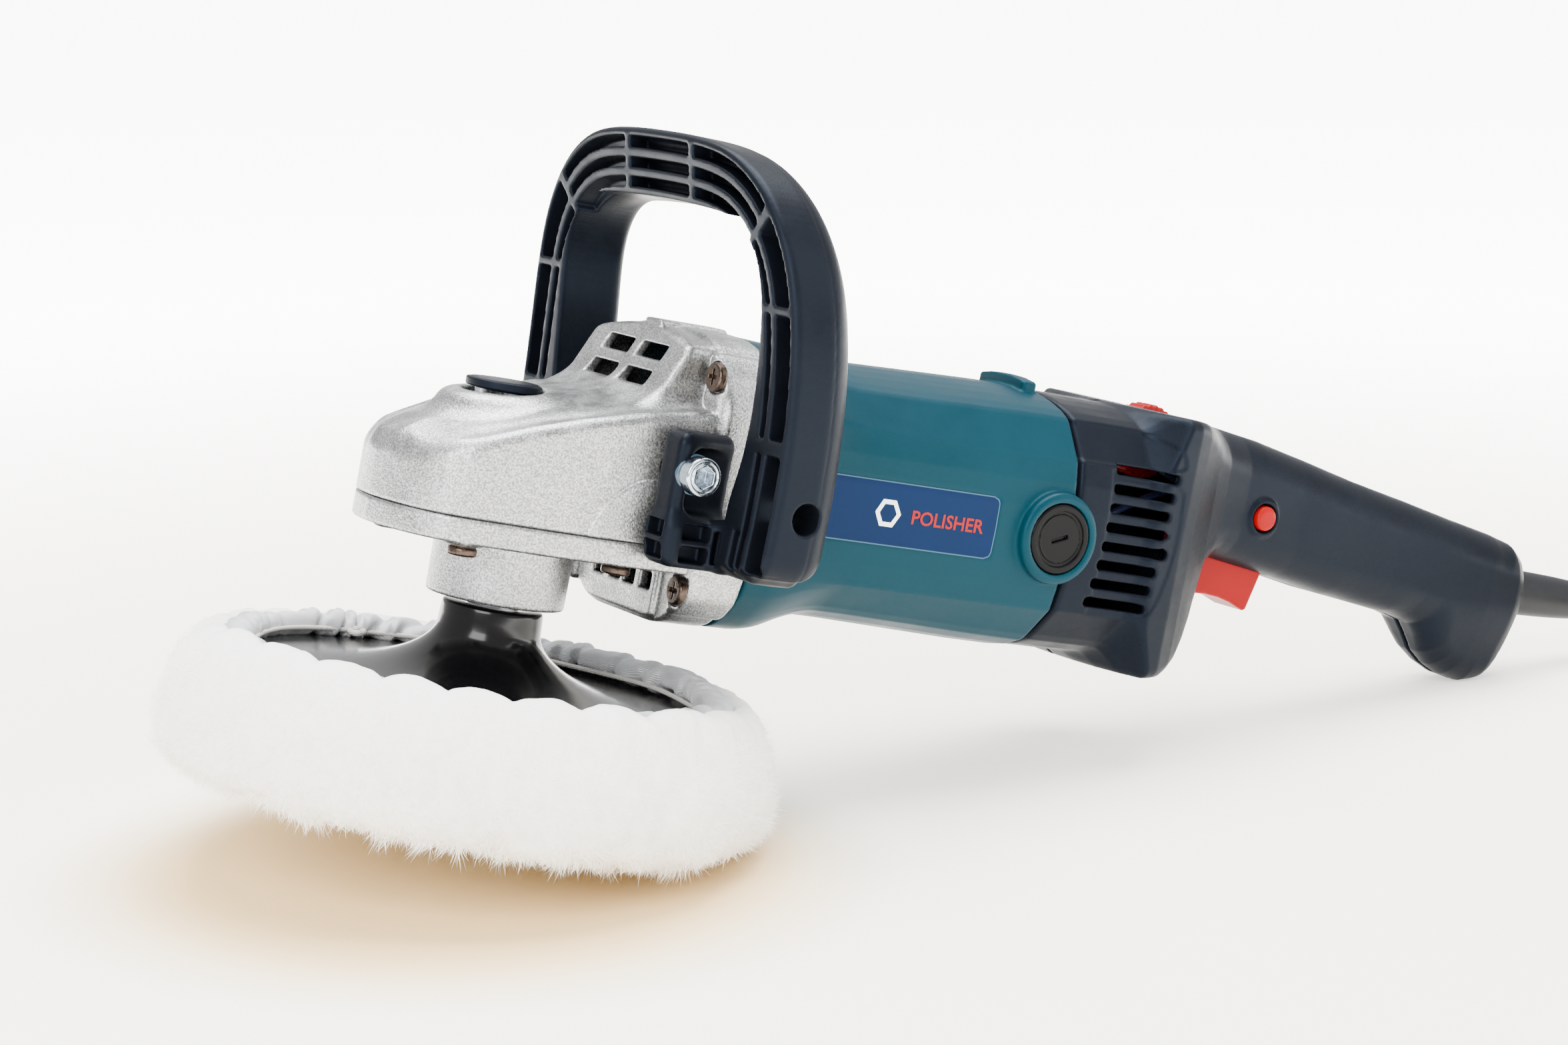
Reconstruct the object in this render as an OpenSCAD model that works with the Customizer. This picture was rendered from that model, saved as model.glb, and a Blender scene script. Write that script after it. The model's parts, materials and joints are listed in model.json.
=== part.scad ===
/* [Stance] */
// Nose-up angle of the tool while it rests on the bonnet and the rear foot, degrees
tilt = 12.8; // [12.6:0.1:13.0]
/* [Gear case] */
// Height of the joint between gear case and bearing box below the motor axis
case_joint_z = -19.5; // [-20:0.5:-19.5]
// Position of the flange between gear case and motor housing, behind the spindle
flange_x = 63; // [62.5:0.5:63.5]
// Radius of the spindle neck
neck_r = 21.6; // [21:0.1:22.5]
// Radius of the spindle lock button
lock_button_r = 12; // [11:0.5:12]
/* [Gear train] */
// Tooth module of the spur pair
spur_m = 1.5; // [1.5]
// Teeth on the drive gear of the spindle
drive_teeth = 36; // [36]
// Teeth on the spur pinion of the countershaft
pinion_teeth = 9; // [9]
// Teeth on the bevel gear of the countershaft
bevel_teeth = 24; // [24]
// Teeth on the bevel pinion of the armature
bevel_pinion_teeth = 10; // [10]
/* [Motor] */
// Outside radius of the motor housing
motor_r = 44.5; // [44:0.1:45]
// Outside radius of the stator core
stator_r = 39.4; // [38:0.1:39.4]
// Outside radius of the armature core
armature_r = 22.8; // [21:0.1:22.9]
// Joint between motor housing and rear handle, behind the spindle
rear_joint_x = 187; // [186:0.5:188]
// Centre of the carbon brushes, behind the spindle
brush_x = 177.6; // [177:0.1:178]
/* [Loop handle] */
// Half of the inner width of the loop
loop_in = 63; // [62:0.5:64]
// Half of the outer width of the loop
loop_out = 84.5; // [84:0.5:86]
// Depth of the loop's section, front to back
loop_depth = 25; // [22:0.5:26]
// Height of the top of the loop above the motor axis, along its own plane
loop_top = 105; // [104:0.5:107]
// Forward lean of the loop, degrees
loop_lean = 8; // [6:0.5:8.5]
/* [Pad] */
// Radius of the wool bonnet
bonnet_r = 97.5; // [96:0.5:98]
// Depth of the bonnet's working face below the motor axis
bonnet_z = -111; // [-112:0.5:-110.5]
/* [Cord] */
// Diameter of the mains cord
cord_d = 8; // [7.8:0.1:8]
// Radius of the coil at the middle of its turns
coil_r = 44; // [43:0.5:45]
/* [Hidden] */
$fn = 64;
// Row frame: tool frame tilted about Y, then lifted so that the foot stands on Z = 0
foot_x = 406; foot_z = -35.6;
lift = foot_x*sin(tilt) - foot_z*cos(tilt);
shift = -150.6;
module place() { translate([shift, 0, lift]) rotate([0, tilt, 0]) children(); }
// Slope of the floor seen from the tool frame
function floor_z(x) = foot_z + (x - foot_x)*tan(tilt);
counter_x = spur_m*(drive_teeth + pinion_teeth)/2;
bevel_r = 13.2;
bevel_pr = bevel_r*bevel_pinion_teeth/bevel_teeth;
// Extrudes: a side outline across Y, and a section along X
module side(w, y = 0) { translate([0, y, 0]) rotate([90, 0, 0]) linear_extrude(height = w, center = true) children(); }
module along(x0, x1) { translate([x0, 0, 0]) rotate([90, 0, 90]) linear_extrude(height = x1 - x0) children(); }
module xcyl(x0, x1, r, fn = 64) { translate([x0, 0, 0]) rotate([0, 90, 0]) cylinder(r = r, h = x1 - x0, $fn = fn); }
module ycyl(x, y0, y1, z, r, fn = 48) { translate([x, y0, z]) rotate([-90, 0, 0]) cylinder(r = r, h = y1 - y0, $fn = fn); }
module zcyl(x, y, z0, z1, r, fn = 48) { translate([x, y, z0]) cylinder(r = r, h = z1 - z0, $fn = fn); }
module both() { children(); mirror([0, 1, 0]) children(); }
function mir(p) = concat(p, [for (i = [len(p) - 1:-1:0]) if (p[i][1] > 0.001) [p[i][0], -p[i][1]]]);
module box(a, b) { translate(a) cube(b - a); }

// Plan outline of the gear case, half, from the nose back
nose_half = [[-48.6, 0], [-47.6, 9], [-43.5, 21], [-35.2, 30.5], [3, 40], [44, 41]];
module nose_plan() { polygon(mir(nose_half)); }
module nose_inner() { polygon(mir([[-44.6, 0], [-43.6, 8], [-39.8, 18.6], [-32.5, 27], [3, 36], [43.5, 37]])); }
// Side outlines: the nose, then the steep front face and the top of the fan dome
nose_side = [[-49, case_joint_z], [-47.6, 0.4], [-43.5, 3.4], [-38, 6.2], [-31, 9.2], [-20, 13], [-11, 15.8], [0, 18.6], [10, 21], [20, 23], [45, 27], [flange_x, 27], [flange_x, case_joint_z]];
dome_side = [[22, 5], [24.4, 22], [28, 27.5], [34.8, 41], [36.5, 44.4], [39.5, 46.1], [flange_x, 46.1], [flange_x, 5]];
// Section of the fan end, squarish with rounded corners
module fan_section(r, hw, hh) { intersection() { circle(r = r, $fn = 96); square([2*hw, 2*hh], center = true); } }
flange_pts = [[36.5, 34], [36.5, -33]];
box_screws = [[-27.8, 25.7], [25.9, 25.7]];

module gear_housing() {
  color([0.78, 0.78, 0.78]) place() difference() {
    union() {
      intersection() {
        translate([0, 0, case_joint_z]) linear_extrude(height = 70) nose_plan();
        side(100) polygon(nose_side);
        rotate([0, -11.5, 0]) along(-70, 80) polygon([[-60, -60], [-60, 4], [-40, 14.5], [-12, 24], [-12, 60], [12, 60], [12, 24], [40, 14.5], [60, 4], [60, -60]]);
      }
      // Round pad under the lock button
      intersection() {
        translate([-10, 0, 5]) cylinder(r1 = 23, r2 = 17, h = 16, $fn = 72);
        side(60) polygon([[-40, 4], [-30, 15.7], [14, 20.1], [14, 4]]);
      }
      // Fan dome with a flat arch on top
      intersection() {
        along(22, flange_x) intersection() { translate([0, 46.1 - 112]) circle(r = 112, $fn = 180); translate([-30, 5]) square([60, 60]); }
        side(100) polygon(dome_side);
      }
      along(45.5, flange_x) fan_section(51, 42.5, 46);
      intersection() { along(43.05, 47) fan_section(50, 42, 43); box([40, -21, -50], [50, 21, case_joint_z]); }
      both() for (z = [16, -42]) intersection() { box([42.5, 30, z], [flange_x, 41, z + 26]); xcyl(42, flange_x, 53); }
      both() ycyl(30.5, 34, 41.2, 4.7, 9);
      translate([38, -3, 44]) cube([24, 6, 3.4]);
    }
    // Gear chamber, open below
    difference() {
      union() {
        intersection() {
          translate([0, 0, case_joint_z - 1]) linear_extrude(height = 60) nose_inner();
          side(100) polygon([[-46, case_joint_z - 1], [-44.4, 0], [-34, 5.5], [-28.8, 10.2], [14, 10.2], [16, 18.5], [42, 18.5], [42, case_joint_z - 1]]);
        }
        zcyl(counter_x, 0, -14.5, -0.5, 15.2);
        xcyl(40, 49, 8);
      }
      for (p = box_screws) both() zcyl(p[0], p[1], case_joint_z - 2, 12, 5);
      zcyl(counter_x, 0, 9.6, 20, 9.5);
      zcyl(0, 0, 8.9, 12, 10.5);
      both() ycyl(30.5, 26, 40, 4.7, 8);
    }
    // Fan chamber and the air passages above the gear chamber
    difference() {
      union() {
        along(47, flange_x + 1) fan_section(46.5, 38.5, 40.5);
        intersection() {
          box([28, -26.5, 21.5], [50, 26.5, 42]);
          side(100) polygon([[28.6, 21.5], [31.4, 27], [37.8, 39.8], [39, 42], [60, 42], [60, 21.5]]);
        }
      }
      xcyl(40, 57.5, 19);
      both() for (p = flange_pts) translate([0, p[0], p[1]]) xcyl(44, flange_x, 6.2);
      both() box([46, 15, -4], [57, 42, 4]);
    }
    xcyl(48.9, 57.6, 13);
    // Upper spindle bearing, countershaft top bearing
    zcyl(0, 0, 8, 13.4, 7.5);
    zcyl(counter_x, 0, 9, 17.4, 7);
    // Lock button pocket and pin guide
    zcyl(-10, 0, 14.8, 40, lock_button_r + 0.35);
    zcyl(-17, 0, 5, 20, 2.7);
    // Air outlets, two rows of two in the dome's front face, and four low down below the plate
    both() { box([20, 2.3, 35.2], [42, 18.8, 40]); box([20, 2.3, 27], [42, 18.8, 31.8]); }
    both() for (y = [1.2, 11.4]) box([42, y, -36], [49, y + 6.6, -30.6]);
    // Screw holes
    for (p = box_screws) both() zcyl(p[0], p[1], case_joint_z - 2, -5.5, 2.55);
    both() for (p = flange_pts) translate([0, p[0], p[1]]) { xcyl(40, 70, 2.7); xcyl(40, 44, 5.2); }
    both() ycyl(30.5, 24, 45, 4.7, 4.05);
  }
}
module bearing_box() {
  color([0.74, 0.74, 0.75]) place() difference() {
    union() {
      translate([0, 0, case_joint_z - 8]) linear_extrude(height = 8) intersection() { scale(0.99) nose_plan(); translate([-60, -50]) square([102.3, 100]); }
      zcyl(0, 0, -46.8, -27, neck_r);
      zcyl(counter_x, 0, -29.5, -27, 9);
    }
    zcyl(0, 0, -37, case_joint_z + 1, 17.5);
    zcyl(0, 0, -45, -37.5, 13);
    zcyl(0, 0, -50, -30, 8.4);
    zcyl(counter_x, 0, -26.5, case_joint_z + 1, 8);
    for (p = box_screws) both() { zcyl(p[0], p[1], -40, -10, 2.7); }
  }
}
module pan_screw(l, r, head_r, head_h) {
  difference() { union() { cylinder(r = r, h = l, $fn = 24); translate([0, 0, -head_h]) cylinder(r = head_r, h = head_h, $fn = 32); }
    for (a = [0, 90]) rotate(a) translate([-head_r*0.6, -0.5, -head_h - 1]) cube([head_r*1.2, 1, 2]); }
}
module bearing_box_screws() { color([0.35, 0.28, 0.2]) place() for (p = box_screws) both() translate([p[0], p[1], case_joint_z - 8]) pan_screw(21.5, 2.5, 4.6, 3.2); }
module flange_screws() { color([0.35, 0.28, 0.2]) place() for (p = flange_pts) both() translate([44, p[0], p[1]]) rotate([0, 90, 0]) pan_screw(34, 2.5, 4.6, 3.2); }
module spindle_lock_button() {
  color([0.12, 0.12, 0.13]) place() difference() {
    union() { zcyl(-10, 0, 18.4, 20, lock_button_r); zcyl(-10, 0, 20, 21.3, lock_button_r - 1.6); }
    zcyl(-17, 0, 17, 19.4, 2.5);
  }
}
module spindle_lock_pin() { color([0.6, 0.6, 0.62]) place() zcyl(-17, 0, 8.6, 19.4, 2.5); }
module spindle_lock_spring() { color([0.6, 0.6, 0.62]) place() difference() { zcyl(-6, 0, 14.8, 18.4, 3.2, 32); zcyl(-6, 0, 14, 19, 2.4, 32); } }

// Loop handle, drawn in its own leaning plane: x is front to back, the section is Y-Z
loop_x = 42;
module lean() { translate([loop_x, 0, 0]) rotate([0, -loop_lean, 0]) children(); }
module loop_outline(w, top, rc, zc, bottom) {
  union() {
    translate([-w, bottom]) square([2*w, zc - bottom]);
    for (s = [-1, 1]) translate([s*(w - rc), zc]) circle(r = rc, $fn = 96);
    translate([-(w - rc), zc]) square([2*(w - rc), top - zc]);
  }
}
module loop_handle() {
  color([0.15, 0.15, 0.17]) place() difference() {
    union() {
      difference() {
        lean() along(0, loop_depth) difference() {
          loop_outline(loop_out, loop_top, 43, loop_top - 43, -24);
          loop_outline(loop_in, loop_top - 21, 21, loop_top - 42, -60);
        }
        // Rounded back edges
        lean() translate([loop_depth - 7, 0, 0]) difference() {
          along(0, 10) loop_outline(loop_out + 5, loop_top + 5, 45, loop_top - 41, -26);
          along(-1, 3.5) loop_outline(loop_out - 2, loop_top - 2, 41, loop_top - 43, -30);
          along(-1, 11) loop_outline(loop_out - 6, loop_top - 6, 37, loop_top - 43, -30);
        }
      }
      both() {
        box([24, 41.2, -23.5], [46, 56, 17]);
        box([40, 41.2, -23.5], [62, 70, -10]);
        box([44, 62, -23.5], [62, 80, 0]);
      }
    }
    // Rows of pockets in the front face
    lean() both() {
      for (j = [0:2]) for (i = [0, 1]) box([-1, 2 + 20.5*i, loop_top - 19 + 6.3*j], [6, 20.5 + 20.5*i, loop_top - 15 + 6.3*j]);
      for (i = [0:1]) for (k = [0:2]) box([-1, loop_in + 3.5 + 8*i, -8 + 23*k], [6, loop_in + 8.5 + 8*i, 12 + 23*k]);
    }
    both() for (i = [0, 1], j = [0, 1]) box([26 + 10.5*i, 52, -21 + 8*j], [35 + 10.5*i, 60, -15 + 8*j]);
    // Bolt recess and hole, hanging hole through the leg
    both() { ycyl(30.5, 46, 60, 4.7, 8.2); ycyl(30.5, 40, 60, 4.7, 4.2); box([22, 46, 4.7 - 8.2], [30.5, 60, 12.9]); }
    both() ycyl(53, 60, 90, -1.5, 4.8);
    // Relief beside the gear case and its flange
    both() { box([20, 30, -30], [70, 41.2, 30]); box([41.5, 30, -30], [70, 42.6, 30]); }
  }
}
module loop_handle_bolts() { color([0.75, 0.78, 0.82]) place() both() difference() {
    union() { ycyl(30.5, 27, 53, 4.7, 4); ycyl(30.5, 52, 60, 4.7, 6); }
    translate([30.5, 55.5, 4.7]) rotate([-90, 0, 0]) cylinder(r = 3.4, h = 6, $fn = 6);
  } }
module loop_handle_spacers() { color([0.2, 0.22, 0.25]) place() both() difference() { ycyl(30.5, 46, 52, 4.7, 6.8); ycyl(30.5, 45, 53, 4.7, 4.1); } }

// Motor housing and motor
module motor_housing() {
  color([0.1, 0.36, 0.45]) place() difference() {
    union() {
      intersection() { xcyl(flange_x, rear_joint_x, motor_r, 128); box([0, -43, -50], [300, 43, 50]); }
      along(flange_x, 78) fan_section(51, 42.5, 43.6);
      both() for (p = flange_pts) translate([0, p[0], p[1]]) xcyl(flange_x, 88, 6.5);
      both() ycyl(brush_x, 30, 46.2, 0, 15.3);
      box([174, -14, 38], [180, 14, 48.9]);
      // Rear bearing seat on four arms, reaching into the handle
      xcyl(rear_joint_x - 0.01, 199, 14.5);
      for (a = [45, 135]) rotate([a, 0, 0]) box([rear_joint_x - 4, -40, -4], [191, 40, 4]);
    }
    difference() {
      union() {
        xcyl(flange_x - 1, 91, 40.6, 96);
        xcyl(90, 149, stator_r, 96);
        xcyl(148, rear_joint_x - 3.4, 37.5, 96);
      }
      both() for (p = flange_pts) translate([0, p[0], p[1]]) xcyl(flange_x - 2, 88, 5);
    }
    xcyl(160, rear_joint_x + 2, 15.5);
    xcyl(191, 200, 11);
    xcyl(180, 200, 7);
    both() for (p = flange_pts) translate([0, p[0], p[1]]) xcyl(60, 80, 2.55);
    // Seats for the brush holders in the end wall, with holes for their leads
    both() { box([183, 15, -4.8], [185.4, 40, 4.8]); translate([0, 22, 0]) xcyl(180, 194, 2.2); }
    // Brush wells
    both() { ycyl(brush_x, 38, 50, 0, 11.9); ycyl(brush_x, 30, 50, 0, 9.6); }
  }
}
module side_labels() { color([0.08, 0.28, 0.5]) place() both() box([82, 43, -10.2], [153.5, 43.3, 10.6]); }
module brush_holders() { color([0.8, 0.65, 0.3]) place() both() difference() {
    union() { translate([brush_x - 7.5, 17, -4.6]) cube([15, 24, 9.2]); ycyl(brush_x, 38.05, 41, 0, 9.3); }
    translate([brush_x - 6.1, 16, -3.3]) cube([12.2, 30, 6.6]);
  } }
module carbon_brushes() { color([0.15, 0.15, 0.15]) place() both() difference() { translate([brush_x - 6, 12, -3.2]) cube([12, 19, 6.4]); xcyl(160, 195, 14.35); } }
module brush_springs() { color([0.7, 0.6, 0.35]) place() both() difference() { ycyl(brush_x, 31, 41, 0, 2.8, 32); ycyl(brush_x, 30, 42, 0, 2.1, 32); } }
module brush_caps() { color([0.05, 0.05, 0.05]) place() both() difference() {
    union() { ycyl(brush_x, 41.2, 46.9, 0, 11.7); }
    box([brush_x - 4.5, 45.6, -0.8], [brush_x + 4.5, 48, 0.8]);
  } }
module stator_core() { color([0.45, 0.46, 0.48]) place() difference() {
    xcyl(92, 146, stator_r, 96);
    xcyl(91, 147, armature_r + 0.7, 96);
    for (s = [-1, 1], t = [-1, 1]) box([91, s > 0 ? 17 : -33, t > 0 ? 4 : -21], [147, s > 0 ? 33 : -17, t > 0 ? 21 : -4]);
  } }
module stator_coils() { color([0.72, 0.35, 0.15]) place() for (t = [-1, 1]) difference() {
    union() {
      for (s = [-1, 1]) box([84, s > 0 ? 24.5 : -32, t > 0 ? 5 : -20], [154, s > 0 ? 32 : -24.5, t > 0 ? 20 : -5]);
      for (x = [84, 146.5]) intersection() { difference() { xcyl(x, x + 7.5, 37); xcyl(x - 1, x + 9, 27); } box([x - 1, -37, t > 0 ? 12 : -40], [x + 9, 37, t > 0 ? 40 : -12]); }
    }
  } }
module fan_baffle() { color([0.2, 0.2, 0.2]) place() difference() { xcyl(78.5, 80.5, 40.6, 96); xcyl(78, 81, 28); } }
module cooling_fan() { color([0.12, 0.12, 0.12]) place() difference() {
    union() { xcyl(66, 68, 37); xcyl(66, 77, 9); for (a = [0:30:330]) rotate([a, 0, 0]) rotate([0, 0, 0]) box([68, 12, -1], [77, 36.5, 1]); }
    xcyl(60, 80, 5);
  } }
module armature_shaft() { color([0.65, 0.66, 0.68]) place() union() { xcyl(48.7, 199.5, 4.5); xcyl(60, 165, 5); } }
module armature_core() { color([0.42, 0.43, 0.45]) place() difference() {
    xcyl(92, 146, armature_r, 96); xcyl(90, 148, 5);
    for (a = [0:30:330]) rotate([a, 0, 0]) box([90, 14, -1.6], [148, 25, 1.6]);
  } }
module armature_windings() { color([0.75, 0.38, 0.16]) place() difference() {
    union() { xcyl(83, 92, 20); xcyl(146, 157, 20); for (a = [0:30:330]) rotate([a, 0, 0]) box([91, 14, -1.5], [147, 21.5, 1.5]); }
    xcyl(80, 160, 5);
    xcyl(92, 146, 14);
  } }
module commutator() { color([0.78, 0.5, 0.25]) place() difference() {
    xcyl(166, 186.5, 14); xcyl(160, 190, 4.5);
    for (a = [0:15:345]) rotate([a, 0, 0]) box([165, 13, -0.3], [190, 15, 0.3]);
  } }
// Plain bearing solids: outer race with shields, inner race with its running gap
module race(x0, x1, r, w) { difference() { xcyl(x0, x1, r); xcyl(x0 - 1, x1 + 1, w); } }
module armature_bearing_outers() { color([0.7, 0.71, 0.73]) place() { race(49, 57, 13, 7.6); race(191.5, 198.5, 11, 7.1); } }
module armature_bearing_inners() { color([0.62, 0.63, 0.65]) place() { race(49, 57, 7.3, 4.5); race(191.5, 198.5, 6.8, 4.5); } }

// Involute outline of a spur gear: base circle, flank points up to the tip, equal thinning for backlash
function inv(rb, r) = let (t = sqrt(max(0, r*r/(rb*rb) - 1))) t*180/PI - atan(t);
function flank(z, m, pa, ad, de, i, n) = let (rp = m*z/2, rb = rp*cos(pa), r0 = max(rb, rp - de), r1 = rp + ad, r = r0 + (r1 - r0)*i/n) [r, inv(rb, r)];
module spur2d(z, m, pa, ad, de, thin, n = 4) {
  rp = m*z/2; rb = rp*cos(pa); half = 90/z - thin/(2*rp)*180/PI; ip = inv(rb, rp); rr = rp - de;
  polygon([for (k = [0:z - 1]) for (q = concat(
      [[rr, -half - ip - (rr < rb ? 0 : 0)]],
      [for (i = [0:n]) let (f = flank(z, m, pa, ad, de, i, n)) [f[0], -half - ip + f[1]]],
      [for (i = [n:-1:0]) let (f = flank(z, m, pa, ad, de, i, n)) [f[0], half + ip - f[1]]],
      [[rr, half + ip]])) let (a = 360*k/z + q[1]) [q[0]*cos(a), q[0]*sin(a)]]);
}
module drive_gear() {
  color([0.5, 0.5, 0.52]) place() difference() {
    translate([0, 0, -2]) linear_extrude(height = 10) spur2d(drive_teeth, spur_m, 25, 1.15, 1.7, 0.2);
    zcyl(0, 0, -5, 12, 8);
    for (a = [0:30:330]) rotate(a) zcyl(-17, 0, 3, 12, 3.1, 32);
    difference() { zcyl(0, 0, -4, 0.5, 23.5); zcyl(0, 0, -5, 2, 12); }
  }
}
module countershaft() {
  color([0.6, 0.6, 0.62]) place() translate([counter_x, 0, 0]) union() {
    zcyl(0, 0, -26.2, 17.2, 4);
    translate([0, 0, -2.5]) rotate(180/pinion_teeth + 180) linear_extrude(height = 11.3) spur2d(pinion_teeth, spur_m, 25, 1.15, 1.7, 0.2);
  }
}
// Bevel pair: straight teeth that shrink towards the common apex, where the two axes cross
module bevel2d(z, r_root, r_tip, w_tip, w_root) {
  polygon([for (k = [0:z - 1]) for (q = [[r_root, -w_root], [r_tip, -w_tip], [r_tip, w_tip], [r_root, w_root]]) let (a = 360*k/z, c = q[0], d = q[1]) [c*cos(a) - d*sin(a), c*sin(a) + d*cos(a)]]);
}
bevel_s = 0.72;
module bevel_gear() {
  color([0.55, 0.55, 0.57]) place() translate([counter_x, 0, 0]) difference() {
    union() {
      rotate_extrude($fn = 96) polygon([[0, -13], [11.5, -13], [12.9, -10], [12.9, -7.2], [8.6, -5.3], [7, -3.2], [0, -3.2]]);
      translate([0, 0, -7.4]) linear_extrude(height = 2.64) bevel2d(bevel_teeth, 9.3, 13.5, 0.55, 0.4);
      translate([0, 0, -4.78]) linear_extrude(height = 1.33, scale = bevel_s) bevel2d(bevel_teeth, 9.3, 13.5, 0.55, 0.4);
    }
    zcyl(0, 0, -20, 5, 4);
  }
}
module bevel_pinion() {
  color([0.55, 0.55, 0.57]) place() difference() {
    union() {
      translate([counter_x + bevel_r - 0.1, 0, 0]) rotate([0, -90, 0]) rotate(180/bevel_pinion_teeth) linear_extrude(height = 3.7, scale = bevel_s) bevel2d(bevel_pinion_teeth, 3.2, bevel_pr + 0.72, 0.42, 0.95);
      xcyl(counter_x + bevel_r - 0.2, 48.7, 4.4);
    }
  }
}
module countershaft_bearings() { color([0.7, 0.71, 0.73]) place() translate([counter_x, 0, 0]) {
    difference() { zcyl(0, 0, -26.5, -19.8, 8); zcyl(0, 0, -30, 0, 4.05); }
    difference() { zcyl(0, 0, 9.6, 17.4, 7); zcyl(0, 0, 0, 20, 4.05); }
  } }
module spindle() {
  color([0.68, 0.69, 0.71]) place() union() {
    zcyl(0, 0, -57, -49, 6.9);
    zcyl(0, 0, -49.1, -45.2, 8);
    zcyl(0, 0, -45.3, -25, 7.5);
    zcyl(0, 0, -25, -2, 9.5);
    zcyl(0, 0, -2, 8, 8);
    zcyl(0, 0, 8, 13, 5);
  }
}
module spindle_bearing_outers() { color([0.7, 0.71, 0.73]) place() {
    difference() { zcyl(0, 0, -37, -26, 17.5); zcyl(0, 0, -40, -20, 11.2); }
    difference() { zcyl(0, 0, 8.9, 13.4, 7.5); zcyl(0, 0, 0, 20, 5.05); }
  } }
module spindle_bearing_inners() { color([0.62, 0.63, 0.65]) place() difference() { zcyl(0, 0, -37, -26, 10.9); zcyl(0, 0, -40, -20, 7.5); } }
module spindle_seal() { color([0.1, 0.1, 0.1]) place() difference() { zcyl(0, 0, -44.5, -38.8, 13); zcyl(0, 0, -50, -30, 7.85); } }
module retaining_rings() { color([0.3, 0.3, 0.32]) place() {
    difference() { zcyl(0, 0, -38.6, -37.6, 9); zcyl(0, 0, -40, -30, 7.5); }
    difference() { zcyl(0, 0, 8.02, 8.7, 6.2); zcyl(0, 0, 0, 20, 5); }
  } }

// Rear handle: bell over the brush end, then the bar with trigger and foot
foot2_x = 415;
handle_side = [[rear_joint_x, 45.2], [231, 45], [247, 44], [262, 42.8], [281, 41], [331, 32], [384, 23.6], [408, 19.6], [418, 17], [424, 12], [426.5, 6], [425.5, -6], [421.5, -29], [foot2_x, floor_z(foot2_x)], [foot_x, foot_z], [389, -31.2], [381, -27.2], [375, -20], [371, -14.5], [350, -12.4], [325, -9.8], [300, -6], [268, -2], [262, -8], [259.4, -16], [255, -28], [248, -37], [238, -42], [226, -43.8], [rear_joint_x, -43.8]];
handle_in = [[rear_joint_x - 1, 42], [247, 41], [281, 38], [331, 29], [384, 20.8], [408, 16.6], [418, 13], [423.4, 6], [422.5, -6], [419, -27], [414, -29.5], [404, -31.5], [390, -28.2], [383.5, -25], [378, -18.5], [372.5, -11.3], [350, -9.2], [325, -6.6], [300, -3], [264, 1.2], [258.8, -7], [256, -17], [252, -27], [245.5, -34.4], [236, -39], [224, -40.8], [rear_joint_x - 1, -40.8]];
handle_top = [[rear_joint_x, 43.6], [228, 43.4], [238, 40.5], [248, 33.5], [258, 26.5], [272, 22.8], [300, 21.2], [350, 19.2], [408, 18], [420, 16], [426.5, 10]];
handle_top_in = [[rear_joint_x - 1, 40.6], [227, 40.4], [236, 37.7], [246, 31], [256.5, 24], [271, 20], [300, 18.4], [350, 16.4], [408, 15.2], [418, 13.2], [423.5, 8]];
module handle_shell() {
  difference() {
    intersection() {
      side(100) polygon(handle_side);
      translate([0, 0, -60]) linear_extrude(height = 120) polygon(mir(concat([[rear_joint_x, 0]], handle_top, [[426.5, 0]])));
      union() { xcyl(rear_joint_x, 262, 46, 96); box([240, -30, -50], [440, 30, 60]); }
    }
    intersection() {
      side(100) polygon(handle_in);
      translate([0, 0, -60]) linear_extrude(height = 120) polygon(mir(concat([[rear_joint_x - 1, 0]], handle_top_in, [[423.5, 0]])));
      union() { xcyl(rear_joint_x - 1, 262, 43, 96); box([240, -26, -50], [440, 26, 60]); }
    }
    // Vent slots
    for (k = [0:7]) both() box([201 - 0.6*k, 30, 23.6 - 6.4*k], [224 - 0.6*k, 50, 26.6 - 6.4*k]);
    // Notches round the brush rings
    both() ycyl(brush_x, 25, 60, 0, 15.5);
    // Trigger opening, dial slot, lock button hole, cord guard hole
    box([262.5, -9.6, -30], [302.4, 9.6, 8]);
    box([226, -5.2, 34], [252, 5.2, 60]);
    ycyl(281.4, -30, -15, 15.1, 4.9);
    xcyl(415, 430, 8.6);
    ycyl(384, -25, -10, 6, 1);
  }
  // Ribs for the guard flange, cord cradle, switch ribs, module shelf and screw posts, all standing on the walls
  difference() {
    intersection() {
      union() {
        box([409, -30, -12], [411, 30, 14.4]);
        box([417, -30, -12], [419, 30, 12.5]);
        both() box([386, 4.2, -4], [394, 30, 4.05]);
        for (x = [289, 304]) both() box([x, 10.05, 10], [x + 2, 30, 24]);
        box([230, 20.05, 28], [247, 50, 32]);
        for (p = handle_posts) ycyl(p[0], -30, 30, p[1], 4.8, 32);
      }
      side(100) polygon(handle_side);
      translate([0, 0, -60]) linear_extrude(height = 120) polygon(mir(concat([[rear_joint_x, 0]], handle_core, [[425, 0]])));
    }
    xcyl(400, 425, 8.6);
    both() zcyl(390, 9.5, -3, 10, 1.4, 24);
    for (p = handle_posts) ycyl(p[0], -14, 40, p[1], 1.85, 24);
  }
}
handle_posts = [[260, 33], [322, -1], [322, 24], [398, 12], [398, -24]];
handle_core = [[rear_joint_x, 42], [228, 41.8], [237, 39], [247, 32], [257, 25.2], [271.5, 21.4], [300, 19.8], [350, 17.8], [408, 16.6], [419, 14.6], [425, 9]];
module rear_handle_left() { color([0.14, 0.15, 0.17]) place() intersection() { handle_shell(); box([150, -60, -60], [450, 0, 60]); } }
module rear_handle_right() {
  color([0.15, 0.15, 0.17]) place() difference() {
    intersection() { handle_shell(); box([150, 0, -60], [450, 60, 60]); }
    for (p = handle_posts) ycyl(p[0], 13.4, 40, p[1], 3.3, 32);
  }
}
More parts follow.
